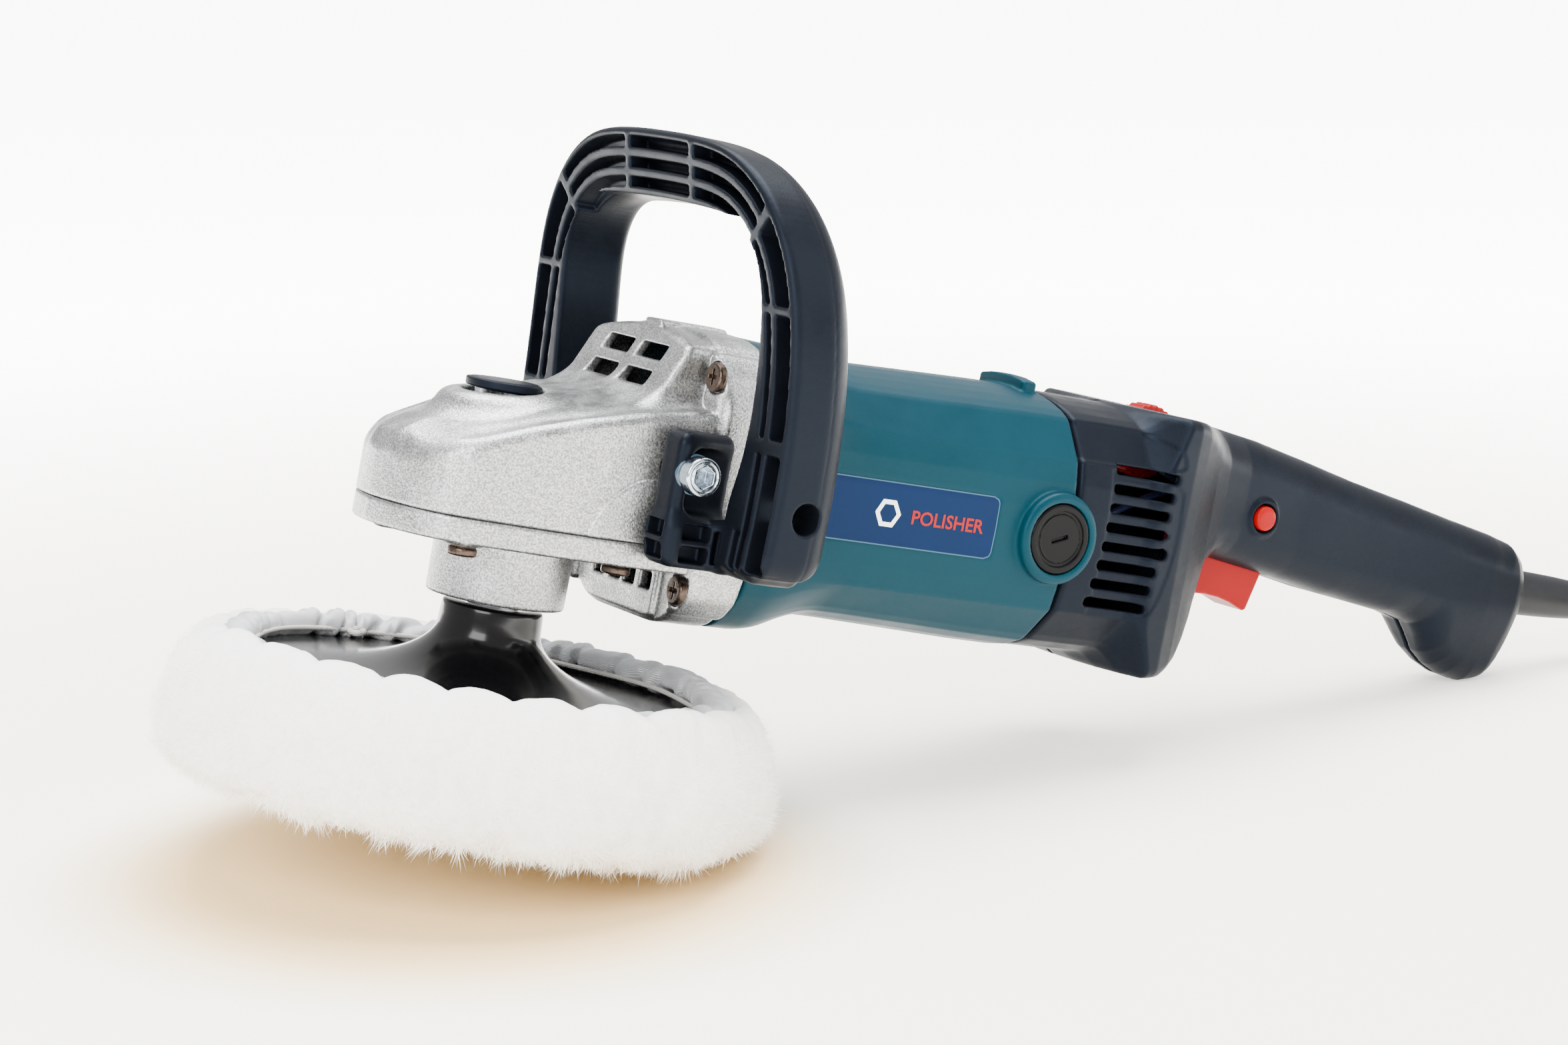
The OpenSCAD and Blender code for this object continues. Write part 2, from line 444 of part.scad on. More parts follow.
module handle_screws() { color([0.5, 0.5, 0.52]) place() for (p = handle_posts) { ycyl(p[0], -12, 13.4, p[1], 1.8, 24); ycyl(p[0], 13.4, 16, p[1], 3.2, 32); } }
// Trigger swings about its front end
trigger_px = 269; trigger_pz = 3.5;
module trigger() {
  color([0.85, 0.08, 0.1]) place() difference() {
    union() {
      side(18) polygon([[265.5, 6.6], [272, 6.6], [283, 4.4], [298, -1], [300.2, -5.7], [296, -20.2], [288, -17.4], [279, -16.4], [268, -16.6], [263, -16], [263.2, -8], [264, 2]]);
    }
    ycyl(trigger_px, -10, 10, trigger_pz, 1.55, 32);
    side(12.6) polygon([[267, 10], [272, -2], [283, -6], [296, -8.5], [298, 10]]);
  }
}
module trigger_spring() { color([0.6, 0.6, 0.62]) place() difference() { zcyl(291, 0, -6.85, 6, 3.2, 32); zcyl(291, 0, -8, 7, 2.4, 32); } }
module switch_body() {
  color([0.1, 0.1, 0.11]) place() difference() {
    union() { box([274, -10, 8.2], [309, 10, 27]); box([286, -3, 6], [296, 3, 9]); ycyl(trigger_px, -12, 12, trigger_pz, 1.5, 32); both() box([265, 9.9, 2], [276, 12, 14]); }
    ycyl(281.4, -12, -4.5, 15.1, 2.6);
  }
}
module lock_on_button() { color([0.9, 0.1, 0.1]) place() { ycyl(281.4, -24.6, -18, 15.1, 4.4); ycyl(281.4, -18.1, -9.5, 15.1, 2); } }
module lock_on_spring() { color([0.6, 0.6, 0.62]) place() difference() { ycyl(281.4, -18, -10, 15.1, 3.8, 32); ycyl(281.4, -19, -9, 15.1, 3, 32); } }
dial_x = 239; dial_z = 34.2;
module speed_dial() { color([0.85, 0.1, 0.1]) place() difference() {
    ycyl(dial_x, -4.2, 4.2, dial_z, 12.8, 72);
    ycyl(dial_x, -6, 6, dial_z, 2.5, 32);
    for (a = [0:15:345]) translate([dial_x, 0, dial_z]) rotate([0, a, 0]) translate([12.8, 0, 0]) rotate([90, 0, 0]) cylinder(r = 0.7, h = 12, center = true, $fn = 16);
  } }
module speed_control_module() { color([0.1, 0.35, 0.2]) place() { box([228, 6, 26], [250, 20, 37]); ycyl(dial_x, -7, 6.05, dial_z, 2.45, 32); } }
module internal_wiring() { color([0.2, 0.25, 0.7]) place() {
    wire([[383.8, -2, 0], [368, -5, 0], [352, -6, 8], [334, -6, 15], [322, -6, 15], [309.2, -6, 15]], 1.5);
    wire([[383.8, 2, 0], [368, 5, 0], [352, 6, 8], [334, 6, 15], [322, 6, 15], [309.2, 6, 15]], 1.5);
    wire([[273.8, 4, 22], [264, 5, 21], [257, 8, 22], [254.5, 12, 27], [253.5, 12, 28], [250.2, 12, 28]], 1.2);
    wire([[227.8, 16, 30], [216, 20, 30], [208, 27, 14], [203, 26, 0], [196, 22, 0], [185.6, 22, 0]], 1.2);
    wire([[273.8, -4, 22], [256, -12, 22], [236, -22, 22], [212, -28, 14], [204, -26, 0], [196, -22, 0], [185.6, -22, 0]], 1.2);
  } }
module cord_clamp() { color([0.1, 0.1, 0.1]) place() difference() { box([386, -13, 4.1], [394, 13, 7]); both() zcyl(390, 9.5, 0, 10, 1.5, 24); } }
module cord_clamp_screws() { color([0.5, 0.5, 0.52]) place() both() { zcyl(390, 9.5, 7, 9, 2.8, 24); zcyl(390, 9.5, -2.5, 7, 1.35, 24); } }
// Tapered cord guard with its flange inside the handle
guard_end = 480;
module cord_guard() {
  color([0.1, 0.1, 0.11]) place() rotate([0, 90, 0]) rotate_extrude($fn = 48) polygon([[4, 408], [8, 408], [8, 411.3], [11.5, 411.3], [11.5, 416.7], [8.4, 416.7], [8.4, 427], [7.4, 447], [5.6, guard_end - 1], [5.2, guard_end], [4, guard_end]]);
}
// Mains cord: straight out of the guard, down to the floor, into the coil, and out to the plug
function row(p) = [shift + p[0]*cos(tilt) + p[2]*sin(tilt), p[1], lift - p[0]*sin(tilt) + p[2]*cos(tilt)];
g0 = row([384, 0, 0]); g1 = row([guard_end + 2, 0, 0]);
coil_c = [390, -coil_r - 12, 0];
coil_h = 2*cord_d; coil_w = 4*cord_d;
function mix(a, b, t) = a*(1 - t) + b*t;
function bez(p, t) = len(p) == 1 ? p[0] : bez([for (i = [0:len(p) - 2]) mix(p[i], p[i + 1], t)], t);
function run(a, b) = (b - a)/norm(b - a);
function ringpt(c, d, r, k, n) = let (u = cross([0, 0, 1], d), un = u/norm(u), w = cross(d, un)) c + r*(cos(360*k/n)*un + sin(360*k/n)*w);
module tube(c, r, n = 12) {
  m = len(c);
  pts = [for (i = [0:m - 1]) let (d = run(c[max(0, i - 1)], c[min(m - 1, i + 1)])) for (k = [0:n - 1]) ringpt(c[i], d, r, k, n)];
  polyhedron(pts, concat([[for (k = [0:n - 1]) k]], [for (i = [0:m - 2], k = [0:n - 1]) [i*n + k, (i + 1)*n + k, (i + 1)*n + (k + 1)%n, i*n + (k + 1)%n]], [[for (k = [n - 1:-1:0]) (m - 1)*n + k]]));
}
lead_in = concat([g0, row([guard_end - 40, 0, 0])], [for (i = [0:6]) bez([g1, g1 + 14*run(g0, g1), [350, 0, 9.5], [372, 0, 12]], i/6)]);
tail_y = coil_c[1] - coil_r - 12;
tail = concat([for (i = [0:4]) bez([[388, tail_y, 4.1], [376, tail_y, 4.2], [370, tail_y, 8.5], [358, tail_y, 8.5]], i/4)], [[346.2, tail_y, 8.5]]);
module wire(p, r) { tube([for (i = [0:10]) bez(p, i/10)], r, 10); }
module power_cord() { color([0.08, 0.08, 0.08]) { tube(lead_in, cord_d/2 - 0.05); tube(tail, cord_d/2 - 0.05); } }
module cord_coil() { color([0.08, 0.08, 0.08]) translate(coil_c) rotate_extrude($fn = 96) translate([coil_r - coil_w/2, 0]) polygon([[1.5, 0], [coil_w - 1.5, 0], [coil_w, 2], [coil_w, coil_h - 2], [coil_w - 1.5, coil_h], [1.5, coil_h], [0, coil_h - 2], [0, 2]]); }
module cord_tie() { color([0.06, 0.06, 0.06]) translate(coil_c) rotate(-20) difference() { box([coil_r - coil_w/2 - 2, -4, 0], [coil_r + coil_w/2 + 1.4, 4, coil_h + 1.4]); box([coil_r - coil_w/2 - 0.5, -5, -1], [coil_r + coil_w/2 + 0.1, 5, coil_h + 0.1]); } }
// Two-pin plug lying flat on the floor, pins towards -X
plug_z = 8.5; plug_x = 328;
module mains_plug() { color([0.08, 0.08, 0.08]) union() {
    difference() {
      intersection() { translate([plug_x - 30, tail_y, 0]) linear_extrude(height = 17) union() { translate([0, -17.5]) square([24, 35]); translate([24, -13]) square([8, 26]); translate([8, 0]) circle(r = 17.5, $fn = 48); } box([plug_x - 30, tail_y - 17.5, 0], [plug_x + 5, tail_y + 17.5, 17]); }
      for (s = [-1, 1]) translate([plug_x - 31, tail_y + 9.5*s, plug_z]) rotate([0, 90, 0]) cylinder(r = 2, h = 13, $fn = 32);
    }
    translate([plug_x, tail_y, plug_z]) rotate([0, 90, 0]) difference() { cylinder(r1 = 7, r2 = 5.2, h = 26, $fn = 32); translate([0, 0, 18]) cylinder(r = 4.05, h = 20, $fn = 32); }
  } }
module plug_pins() { color([0.8, 0.8, 0.78]) for (s = [-1, 1]) translate([plug_x - 49, tail_y + 9.5*s, plug_z]) rotate([0, 90, 0]) { cylinder(r = 2.4, h = 18.5, $fn = 32); cylinder(r = 2, h = 31, $fn = 32); } }

// Backing pad, its threaded insert, and the wool bonnet tied over it
module backing_pad() { color([0.06, 0.06, 0.06]) place() rotate_extrude($fn = 96) polygon([[8.3, -48.6], [15.6, -48.6], [16.2, -49.4], [16.4, -56.5], [18.2, -60], [21.5, -63.4], [27, -66.8], [36, -70], [46, -72], [60, -73.4], [80, -74.4], [86.5, -75.4], [88, -77], [88, -84.5], [86.5, -86], [0, -86], [0, -64], [11, -64], [11, -49.3], [8.3, -49.3]]); }
module pad_insert() { color([0.6, 0.6, 0.62]) place() difference() { zcyl(0, 0, -63.9, -49.4, 10.9); zcyl(0, 0, -60, -49, 7); } }
module floor_cut() { difference() { children(); translate([-400, -300, -200]) cube([800, 600, 200]); } }
module wool_bonnet() { color([0.95, 0.93, 0.88]) floor_cut() place() rotate_extrude($fn = 96) polygon([[0, -86.3], [87, -86.3], [88.3, -84.6], [88.3, -76.8], [86.6, -75], [81, -74.1], [80, -72], [80, -67], [84, -64.6], [90, -66.5], [95.5, -72], [bonnet_r, -79], [bonnet_r, -92], [95, -101], [89.5, -107.8], [82, bonnet_z], [0, bonnet_z]]); }
module bonnet_hem() { color([0.8, 0.82, 0.86]) place() rotate_extrude($fn = 96) polygon([[71, -70.6], [79, -73.6], [79.6, -72], [79.6, -66.6], [84, -64.2], [82, -60.6], [76, -61.4], [72, -66]]); }
module drawstring() { color([0.75, 0.77, 0.8]) place() union() { rotate_extrude($fn = 96) translate([70, -68.6]) circle(r = 1.1, $fn = 16); rotate(100) translate([68, -7, -70.2]) cube([2.4, 14, 2.2]); } }

gear_housing();
bearing_box();
bearing_box_screws();
flange_screws();
spindle_lock_button();
spindle_lock_pin();
spindle_lock_spring();
loop_handle();
loop_handle_bolts();
loop_handle_spacers();
motor_housing();
side_labels();
brush_holders();
carbon_brushes();
brush_springs();
brush_caps();
stator_core();
stator_coils();
fan_baffle();
cooling_fan();
armature_shaft();
armature_core();
armature_windings();
commutator();
armature_bearing_outers();
armature_bearing_inners();
bevel_pinion();
bevel_gear();
countershaft();
countershaft_bearings();
drive_gear();
spindle();
spindle_bearing_outers();
spindle_bearing_inners();
spindle_seal();
retaining_rings();
rear_handle_left();
rear_handle_right();
handle_screws();
trigger();
trigger_spring();
switch_body();
lock_on_button();
lock_on_spring();
speed_dial();
speed_control_module();
internal_wiring();
cord_clamp();
cord_clamp_screws();
cord_guard();
power_cord();
cord_coil();
cord_tie();
mains_plug();
plug_pins();
backing_pad();
pad_insert();
wool_bonnet();
bonnet_hem();
drawstring();
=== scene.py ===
import json
import math
import bpy
import numpy as np
import openvdb as vdb
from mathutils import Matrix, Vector


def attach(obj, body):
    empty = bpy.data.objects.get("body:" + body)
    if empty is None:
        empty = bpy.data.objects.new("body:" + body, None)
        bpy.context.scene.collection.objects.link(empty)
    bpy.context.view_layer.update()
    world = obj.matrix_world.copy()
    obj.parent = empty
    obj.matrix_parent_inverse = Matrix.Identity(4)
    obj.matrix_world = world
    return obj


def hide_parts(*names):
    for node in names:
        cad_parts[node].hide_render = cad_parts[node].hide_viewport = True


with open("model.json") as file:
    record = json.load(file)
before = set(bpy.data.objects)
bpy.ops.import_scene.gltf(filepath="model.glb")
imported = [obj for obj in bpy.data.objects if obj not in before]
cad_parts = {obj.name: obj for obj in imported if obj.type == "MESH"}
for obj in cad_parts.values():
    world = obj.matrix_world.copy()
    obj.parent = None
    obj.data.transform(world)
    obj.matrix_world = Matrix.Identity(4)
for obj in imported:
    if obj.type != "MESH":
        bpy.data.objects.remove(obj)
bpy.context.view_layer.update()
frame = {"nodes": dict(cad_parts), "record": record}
F = np.float32

# Tool frame (mm): X to the rear, Y across, Z up along the spindle. Row frame (m): the tool lies nose-up.
TILT = math.radians(12.8)
C, S = math.cos(TILT), math.sin(TILT)
LIFT = 406 * S + 35.6 * C
SHIFT = -150.6


def row(p):
    p = np.asarray(p, float)
    x, y, z = p[..., 0], p[..., 1], p[..., 2]
    return np.stack([SHIFT + x * C + z * S, y, LIFT - x * S + z * C], -1) / 1000


def rowdir(d):
    d = np.asarray(d, float)
    x, y, z = d[..., 0], d[..., 1], d[..., 2]
    return np.stack([x * C + z * S, y, -x * S + z * C], -1)


# ---------------------------------------------------------------- shape fields
def imax(a, b, r):
    """Intersection with a true round edge of radius r."""
    return np.minimum(-r, np.maximum(a, b)) + np.sqrt(np.maximum(a + r, 0) ** 2 + np.maximum(b + r, 0) ** 2)


def imin(a, b, r):
    """Union with a true fillet of radius r."""
    return np.maximum(r, np.minimum(a, b)) - np.sqrt(np.maximum(r - a, 0) ** 2 + np.maximum(r - b, 0) ** 2)


def cut(a, b, r=0.3):
    return imax(a, -b, r)


def sst(t):
    t = np.clip(t, 0, 1)
    return t * t * (3 - 2 * t)


def poly(u, v, pts):
    pts = np.array(pts, F)
    n = len(pts)
    d = None
    sign = None
    for i in range(n):
        a, b = pts[i], pts[(i + 1) % n]
        e = b - a
        wu, wv = u - a[0], v - a[1]
        t = np.clip((wu * e[0] + wv * e[1]) / float(e @ e), 0, 1)
        q = (wu - e[0] * t) ** 2 + (wv - e[1] * t) ** 2
        c1, c2, c3 = v >= a[1], v < b[1], e[0] * wv > e[1] * wu
        s = (c1 & c2 & c3) | (~c1 & ~c2 & ~c3)
        d = q if d is None else np.minimum(d, q)
        sign = s if sign is None else sign ^ s
    return (np.sqrt(d) * np.where(sign, -1, 1)).astype(F)


def chaikin(pts, n=2, keep=()):
    """Rounds a closed outline by corner cutting; keep holds the indices that stay sharp."""
    pts = [(tuple(p), i in keep) for i, p in enumerate(pts)]
    for _ in range(n):
        out = []
        m = len(pts)
        for i in range(m):
            (p, kp), (q, kq) = pts[i], pts[(i + 1) % m]
            a = p if kp else (p[0] * 0.75 + q[0] * 0.25, p[1] * 0.75 + q[1] * 0.25)
            b = (p[0] * 0.25 + q[0] * 0.75, p[1] * 0.25 + q[1] * 0.75)
            out.append((a, kp))
            if not kq:
                out.append((b, False))
        pts = out
    return [p for p, _ in pts]


def mirror(pts):
    return list(pts) + [(x, -y) for x, y in reversed(pts) if y > 1e-6]


def box(X, Y, Z, lo, hi, r=0.0):
    c = [(a + b) / 2 for a, b in zip(lo, hi)]
    h = [(b - a) / 2 - r for a, b in zip(lo, hi)]
    qx, qy, qz = abs(X - c[0]) - h[0], abs(Y - c[1]) - h[1], abs(Z - c[2]) - h[2]
    return (np.sqrt(np.maximum(qx, 0) ** 2 + np.maximum(qy, 0) ** 2 + np.maximum(qz, 0) ** 2)
            + np.minimum(np.maximum(np.maximum(qx, qy), qz), 0) - r)


def cyl(u, v, w, c, r, w0, w1, e=0.0):
    """Cylinder along w, round edge e."""
    return imax(np.sqrt((u - c[0]) ** 2 + (v - c[1]) ** 2) - r, abs(w - (w0 + w1) / 2) - (w1 - w0) / 2, e if e > 0 else 1e-3)


class Grid:
    def __init__(self, lo, hi, v, sym=True):
        self.v, self.sym = v, sym
        lo = list(lo)
        if sym:
            lo[1] = 0.0
        n = [int(math.ceil((hi[i] - lo[i]) / v)) + 1 for i in range(3)]
        ax = [(lo[i] + v * np.arange(n[i])).astype(F) for i in range(3)]
        self.lo = lo
        self.X, self.Y, self.Z = ax[0][:, None, None], ax[1][None, :, None], ax[2][None, None, :]
        self.shape = n

    def surface(self, D):
        D = np.ascontiguousarray(np.broadcast_to(D, self.shape).astype(F))
        lo = list(self.lo)
        if self.sym:
            D = np.concatenate([D[:, :0:-1, :], D], axis=1)
            lo[1] = -(self.shape[1] - 1) * self.v
        D = np.clip(D, -3 * self.v, 3 * self.v)
        D[0], D[-1], D[:, 0], D[:, -1], D[:, :, 0], D[:, :, -1] = (3 * self.v,) * 6
        g = vdb.FloatGrid(background=3 * self.v)
        g.copyFromArray(np.ascontiguousarray(D))
        p, t, q = g.convertToPolygons(isovalue=0.0, adaptivity=0.0)
        # normals from the field's own slope
        h = 0.75

        def tri(P):
            P = np.clip(P, 0, np.array(D.shape) - 1.001)
            i = P.astype(int)
            f = P - i
            r = 0
            for a in (0, 1):
                for b in (0, 1):
                    for c in (0, 1):
                        w = (f[:, 0] if a else 1 - f[:, 0]) * (f[:, 1] if b else 1 - f[:, 1]) * (f[:, 2] if c else 1 - f[:, 2])
                        r = r + w * D[i[:, 0] + a, i[:, 1] + b, i[:, 2] + c]
            return r
        N = np.stack([tri(p + h * np.eye(3)[k]) - tri(p - h * np.eye(3)[k]) for k in range(3)], 1)
        N /= np.maximum(np.linalg.norm(N, axis=1), 1e-9)[:, None]
        return p * self.v + np.array(lo), q, N


def set_mesh(name, P, faces, N=None, smooth=True):
    """A mesh object from points already in metres in the row frame."""
    me = bpy.data.meshes.new(name)
    P = np.asarray(P, F)
    me.vertices.add(len(P))
    me.vertices.foreach_set("co", P.ravel())
    if isinstance(faces, np.ndarray):
        k = faces.shape[1]
        nf = len(faces)
        me.loops.add(nf * k)
        me.loops.foreach_set("vertex_index", faces.ravel().astype(np.int32))
        me.polygons.add(nf)
        me.polygons.foreach_set("loop_start", (np.arange(nf) * k).astype(np.int32))
    else:
        me.loops.add(sum(len(f) for f in faces))
        me.loops.foreach_set("vertex_index", np.concatenate([np.asarray(f, np.int32) for f in faces]))
        me.polygons.add(len(faces))
        me.polygons.foreach_set("loop_start", np.cumsum([0] + [len(f) for f in faces[:-1]]).astype(np.int32))
    me.update(calc_edges=True)
    me.validate()
    if smooth:
        me.shade_smooth()
    if N is not None and len(me.vertices) == len(N):
        me.normals_split_custom_set_from_vertices([tuple(n) for n in N])
    o = bpy.data.objects.new(name, me)
    bpy.context.scene.collection.objects.link(o)
    return o


def from_field(name, g, D, to_row=True):
    p, q, N = g.surface(D)
    # outward orientation
    a, b, c = p[q[:, 0]], p[q[:, 1]], p[q[:, 2]]
    if np.einsum("ij,ij->i", np.cross(b - a, c - a), N[q[:, 0]]).sum() < 0:
        q = q[:, ::-1]
    return set_mesh(name, row(p), np.ascontiguousarray(q), rowdir(N))


def join(name, objs):
    bpy.ops.object.select_all(action="DESELECT")
    for o in objs:
        o.select_set(True)
    bpy.context.view_layer.objects.active = objs[0]
    bpy.ops.object.join()
    o = bpy.context.view_layer.objects.active
    o.name = name
    o.data.name = name
    return o


def lathe(name, prof, axis="z", at=(0, 0, 0), n=128, ripple=None):
    """Turned shape from (r, h) points along a tool axis, ends on the axis closed."""
    prof = [(float(r), float(h)) for r, h in prof]
    m = len(prof)
    th = np.arange(n) * 2 * math.pi / n
    P = []
    for r, h in prof:
        u, v = r * np.cos(th), r * np.sin(th)
        w = np.full(n, h)
        P.append(np.stack([u, v, w] if axis == "z" else [w, u, v] if axis == "x" else [v, w, u], 1))
    P = np.array(P).reshape(-1, 3) + np.array(at, float)
    fs = []
    for i in range(m - 1):
        for k in range(n):
            k2 = (k + 1) % n
            fs.append((i * n + k, i * n + k2, (i + 1) * n + k2, (i + 1) * n + k))
    o = set_mesh(name, row(P), np.array(fs))
    import bmesh
    bm = bmesh.new()
    bm.from_mesh(o.data)
    bmesh.ops.remove_doubles(bm, verts=bm.verts, dist=1e-6)
    bmesh.ops.recalc_face_normals(bm, faces=bm.faces)
    bm.to_mesh(o.data)
    bm.free()
    o.data.shade_smooth()
    return o


def rnd(prof, k=3):
    """Rounds the inner corners of an open profile."""
    for _ in range(k):
        out = [prof[0]]
        for p, q in zip(prof[:-1], prof[1:]):
            out += [(p[0] * 0.75 + q[0] * 0.25, p[1] * 0.75 + q[1] * 0.25), (p[0] * 0.25 + q[0] * 0.75, p[1] * 0.25 + q[1] * 0.75)]
        out.append(prof[-1])
        prof = out
    return prof


# ---------------------------------------------------------------- materials
MATS = {}


def mat(name, col, rough=0.5, metal=0.0, spec=0.5, coat=0.0, sheen=0.0, sss=0.0, grain=None, blotch=None, weave=None, sparkle=None, ior=1.5, aniso=0.0):
    """grain = (size mm, depth mm), blotch = (size mm, roughness swing, value swing), sparkle = (size mm, dark, light)."""
    m = bpy.data.materials.new(name)
    m.use_nodes = True
    nt = m.node_tree
    b = nt.nodes["Principled BSDF"]
    b.inputs["Base Color"].default_value = (*col, 1)
    b.inputs["Roughness"].default_value = rough
    b.inputs["Metallic"].default_value = metal
    b.inputs["Specular IOR Level"].default_value = spec
    b.inputs["IOR"].default_value = ior
    b.inputs["Coat Weight"].default_value = coat
    b.inputs["Coat Roughness"].default_value = 0.08
    b.inputs["Sheen Weight"].default_value = sheen
    b.inputs["Sheen Roughness"].default_value = 0.4
    b.inputs["Subsurface Weight"].default_value = sss
    b.inputs["Subsurface Radius"].default_value = (0.006, 0.005, 0.0045)
    b.inputs["Subsurface Scale"].default_value = 1.0
    b.inputs["Anisotropic"].default_value = aniso
    tc = nt.nodes.new("ShaderNodeTexCoord")
    bumps = None

    def noise(size, detail=2.0, rough_=0.5):
        n = nt.nodes.new("ShaderNodeTexNoise")
        n.inputs["Scale"].default_value = 1000 / size
        n.inputs["Detail"].default_value = detail
        n.inputs["Roughness"].default_value = rough_
        nt.links.new(tc.outputs["Object"], n.inputs["Vector"])
        return n

    def ramp(src, a, b_, lo, hi):
        r = nt.nodes.new("ShaderNodeMapRange")
        r.inputs["From Min"].default_value = a
        r.inputs["From Max"].default_value = b_
        r.inputs["To Min"].default_value = lo
        r.inputs["To Max"].default_value = hi
        nt.links.new(src, r.inputs["Value"])
        return r.outputs["Result"]

    def bump(src, depth):
        nonlocal bumps
        n = nt.nodes.new("ShaderNodeBump")
        n.inputs["Strength"].default_value = 1.0
        n.inputs["Distance"].default_value = depth / 1000
        nt.links.new(src, n.inputs["Height"])
        if bumps is not None:
            nt.links.new(bumps, n.inputs["Normal"])
        bumps = n.outputs["Normal"]
        nt.links.new(bumps, b.inputs["Normal"])

    value = None
    if grain:
        for size, depth in grain:
            bump(noise(size, 3.0, 0.6).outputs["Fac"], depth)
    if blotch:
        n = noise(blotch[0], 4.0, 0.6)
        nt.links.new(ramp(n.outputs["Fac"], 0.35, 0.65, max(rough - blotch[1], 0.02), min(rough + blotch[1], 1)), b.inputs["Roughness"])
        value = ramp(n.outputs["Fac"], 0.35, 0.65, 1 - blotch[2], 1 + blotch[2])
    if sparkle:
        n = noise(sparkle[0], 1.5, 0.5)
        v2 = ramp(n.outputs["Fac"], 0.38, 0.64, sparkle[1], sparkle[2])
        if value is None:
            value = v2
        else:
            mm = nt.nodes.new("ShaderNodeMath")
            mm.operation = "MULTIPLY"
            nt.links.new(value, mm.inputs[0])
            nt.links.new(v2, mm.inputs[1])
            value = mm.outputs[0]
    if value is not None:
        vm = nt.nodes.new("ShaderNodeVectorMath")
        vm.operation = "SCALE"
        vm.inputs[0].default_value = col
        nt.links.new(value, vm.inputs["Scale"])
        nt.links.new(vm.outputs["Vector"], b.inputs["Base Color"])
    if weave:
        w = nt.nodes.new("ShaderNodeTexWave")
        w.inputs["Scale"].default_value = 1000 / weave[0]
        w.bands_direction = "DIAGONAL"
        nt.links.new(tc.outputs["Object"], w.inputs["Vector"])
        bump(w.outputs["Fac"], weave[1])
    MATS[name] = m
    return m


mat("cast", (0.345, 0.35, 0.35), 0.36, 0.92, 0.5, grain=[(0.8, 0.15), (3.0, 0.07)], sparkle=(0.6, 0.6, 1.3), blotch=(9, 0.08, 0.06))
mat("bronze", (0.062, 0.043, 0.033), 0.32, 0.9, grain=[(1.2, 0.05)], blotch=(2.0, 0.12, 0.35))
mat("nylon", (0.0026, 0.0032, 0.005), 0.42, 0.0, 0.10, grain=[(0.7, 0.035), (6, 0.05)], blotch=(14, 0.06, 0.12))
mat("nylon_handle", (0.0028, 0.0035, 0.0055), 0.42, 0.0, 0.10, grain=[(0.6, 0.03), (9, 0.06)], blotch=(22, 0.07, 0.12))
mat("teal", (0.0009, 0.021, 0.032), 0.42, 0.0, 0.13, grain=[(0.6, 0.03)], blotch=(25, 0.05, 0.05))
mat("label_blue", (0.0005, 0.0075, 0.037), 0.36, 0.0, 0.12, blotch=(20, 0.04, 0.08))
mat("label_rim", (0.02, 0.07, 0.12), 0.35, 0.0, 0.25)
mat("label_white", (0.85, 0.87, 0.88), 0.35)
mat("label_red", (0.24, 0.0004, 0.0004), 0.35, 0.0, 0.16)
mat("plate_grey", (0.30, 0.36, 0.42), 0.35, 0.4)
mat("gloss_black", (0.0018, 0.0019, 0.0023), 0.30, 0.0, 0.08, coat=0.0, grain=[(4, 0.01)])
mat("pad_black", (0.0025, 0.0025, 0.003), 0.17, 0.0, 0.24, coat=0.0, grain=[(9, 0.03)])
mat("red", (0.23, 0.0002, 0.0014), 0.34, 0.0, 0.09, grain=[(1.0, 0.01)])
mat("zinc", (0.40, 0.46, 0.52), 0.2, 1.0, grain=[(0.8, 0.01)], blotch=(1.5, 0.08, 0.1))
mat("spacer", (0.02, 0.05, 0.075), 0.28)
mat("steel", (0.52, 0.53, 0.55), 0.3, 1.0, grain=[(0.6, 0.01)])
mat("gear_steel", (0.40, 0.40, 0.42), 0.35, 1.0, grain=[(0.6, 0.01)])
mat("core_steel", (0.26, 0.27, 0.29), 0.5, 0.8, grain=[(0.8, 0.02)])
mat("copper", (0.72, 0.30, 0.13), 0.3, 0.9, grain=[(0.8, 0.05)])
mat("brass", (0.76, 0.55, 0.22), 0.3, 1.0, grain=[(0.8, 0.01)])
mat("carbon", (0.03, 0.03, 0.03), 0.6, grain=[(0.8, 0.02)])
mat("rubber", (0.006, 0.0065, 0.008), 0.5, 0.0, 0.2, grain=[(0.8, 0.02)])
mat("cord", (0.007, 0.0078, 0.0095), 0.48, 0.0, 0.2, grain=[(1.5, 0.03)])
mat("circuit", (0.03, 0.16, 0.07), 0.3, grain=[(3, 0.02)])
mat("wire", (0.015, 0.02, 0.06), 0.35, grain=[(3, 0.01)])
mat("wool", (0.97, 0.96, 0.93), 0.95, 0.0, 0.1, sheen=0.6, grain=[(3.5, 0.8), (1.0, 0.35)])
mat("wool_fibre", (0.98, 0.97, 0.94), 0.85, 0.0, 0.2, sheen=0.4)
mat("hem", (0.54, 0.55, 0.57), 0.36, 0.15, 0.5, sheen=0.2, grain=[(0.8, 0.08)], weave=(1.0, 0.12))
mat("string", (0.55, 0.53, 0.50), 0.7, weave=(1.2, 0.2))

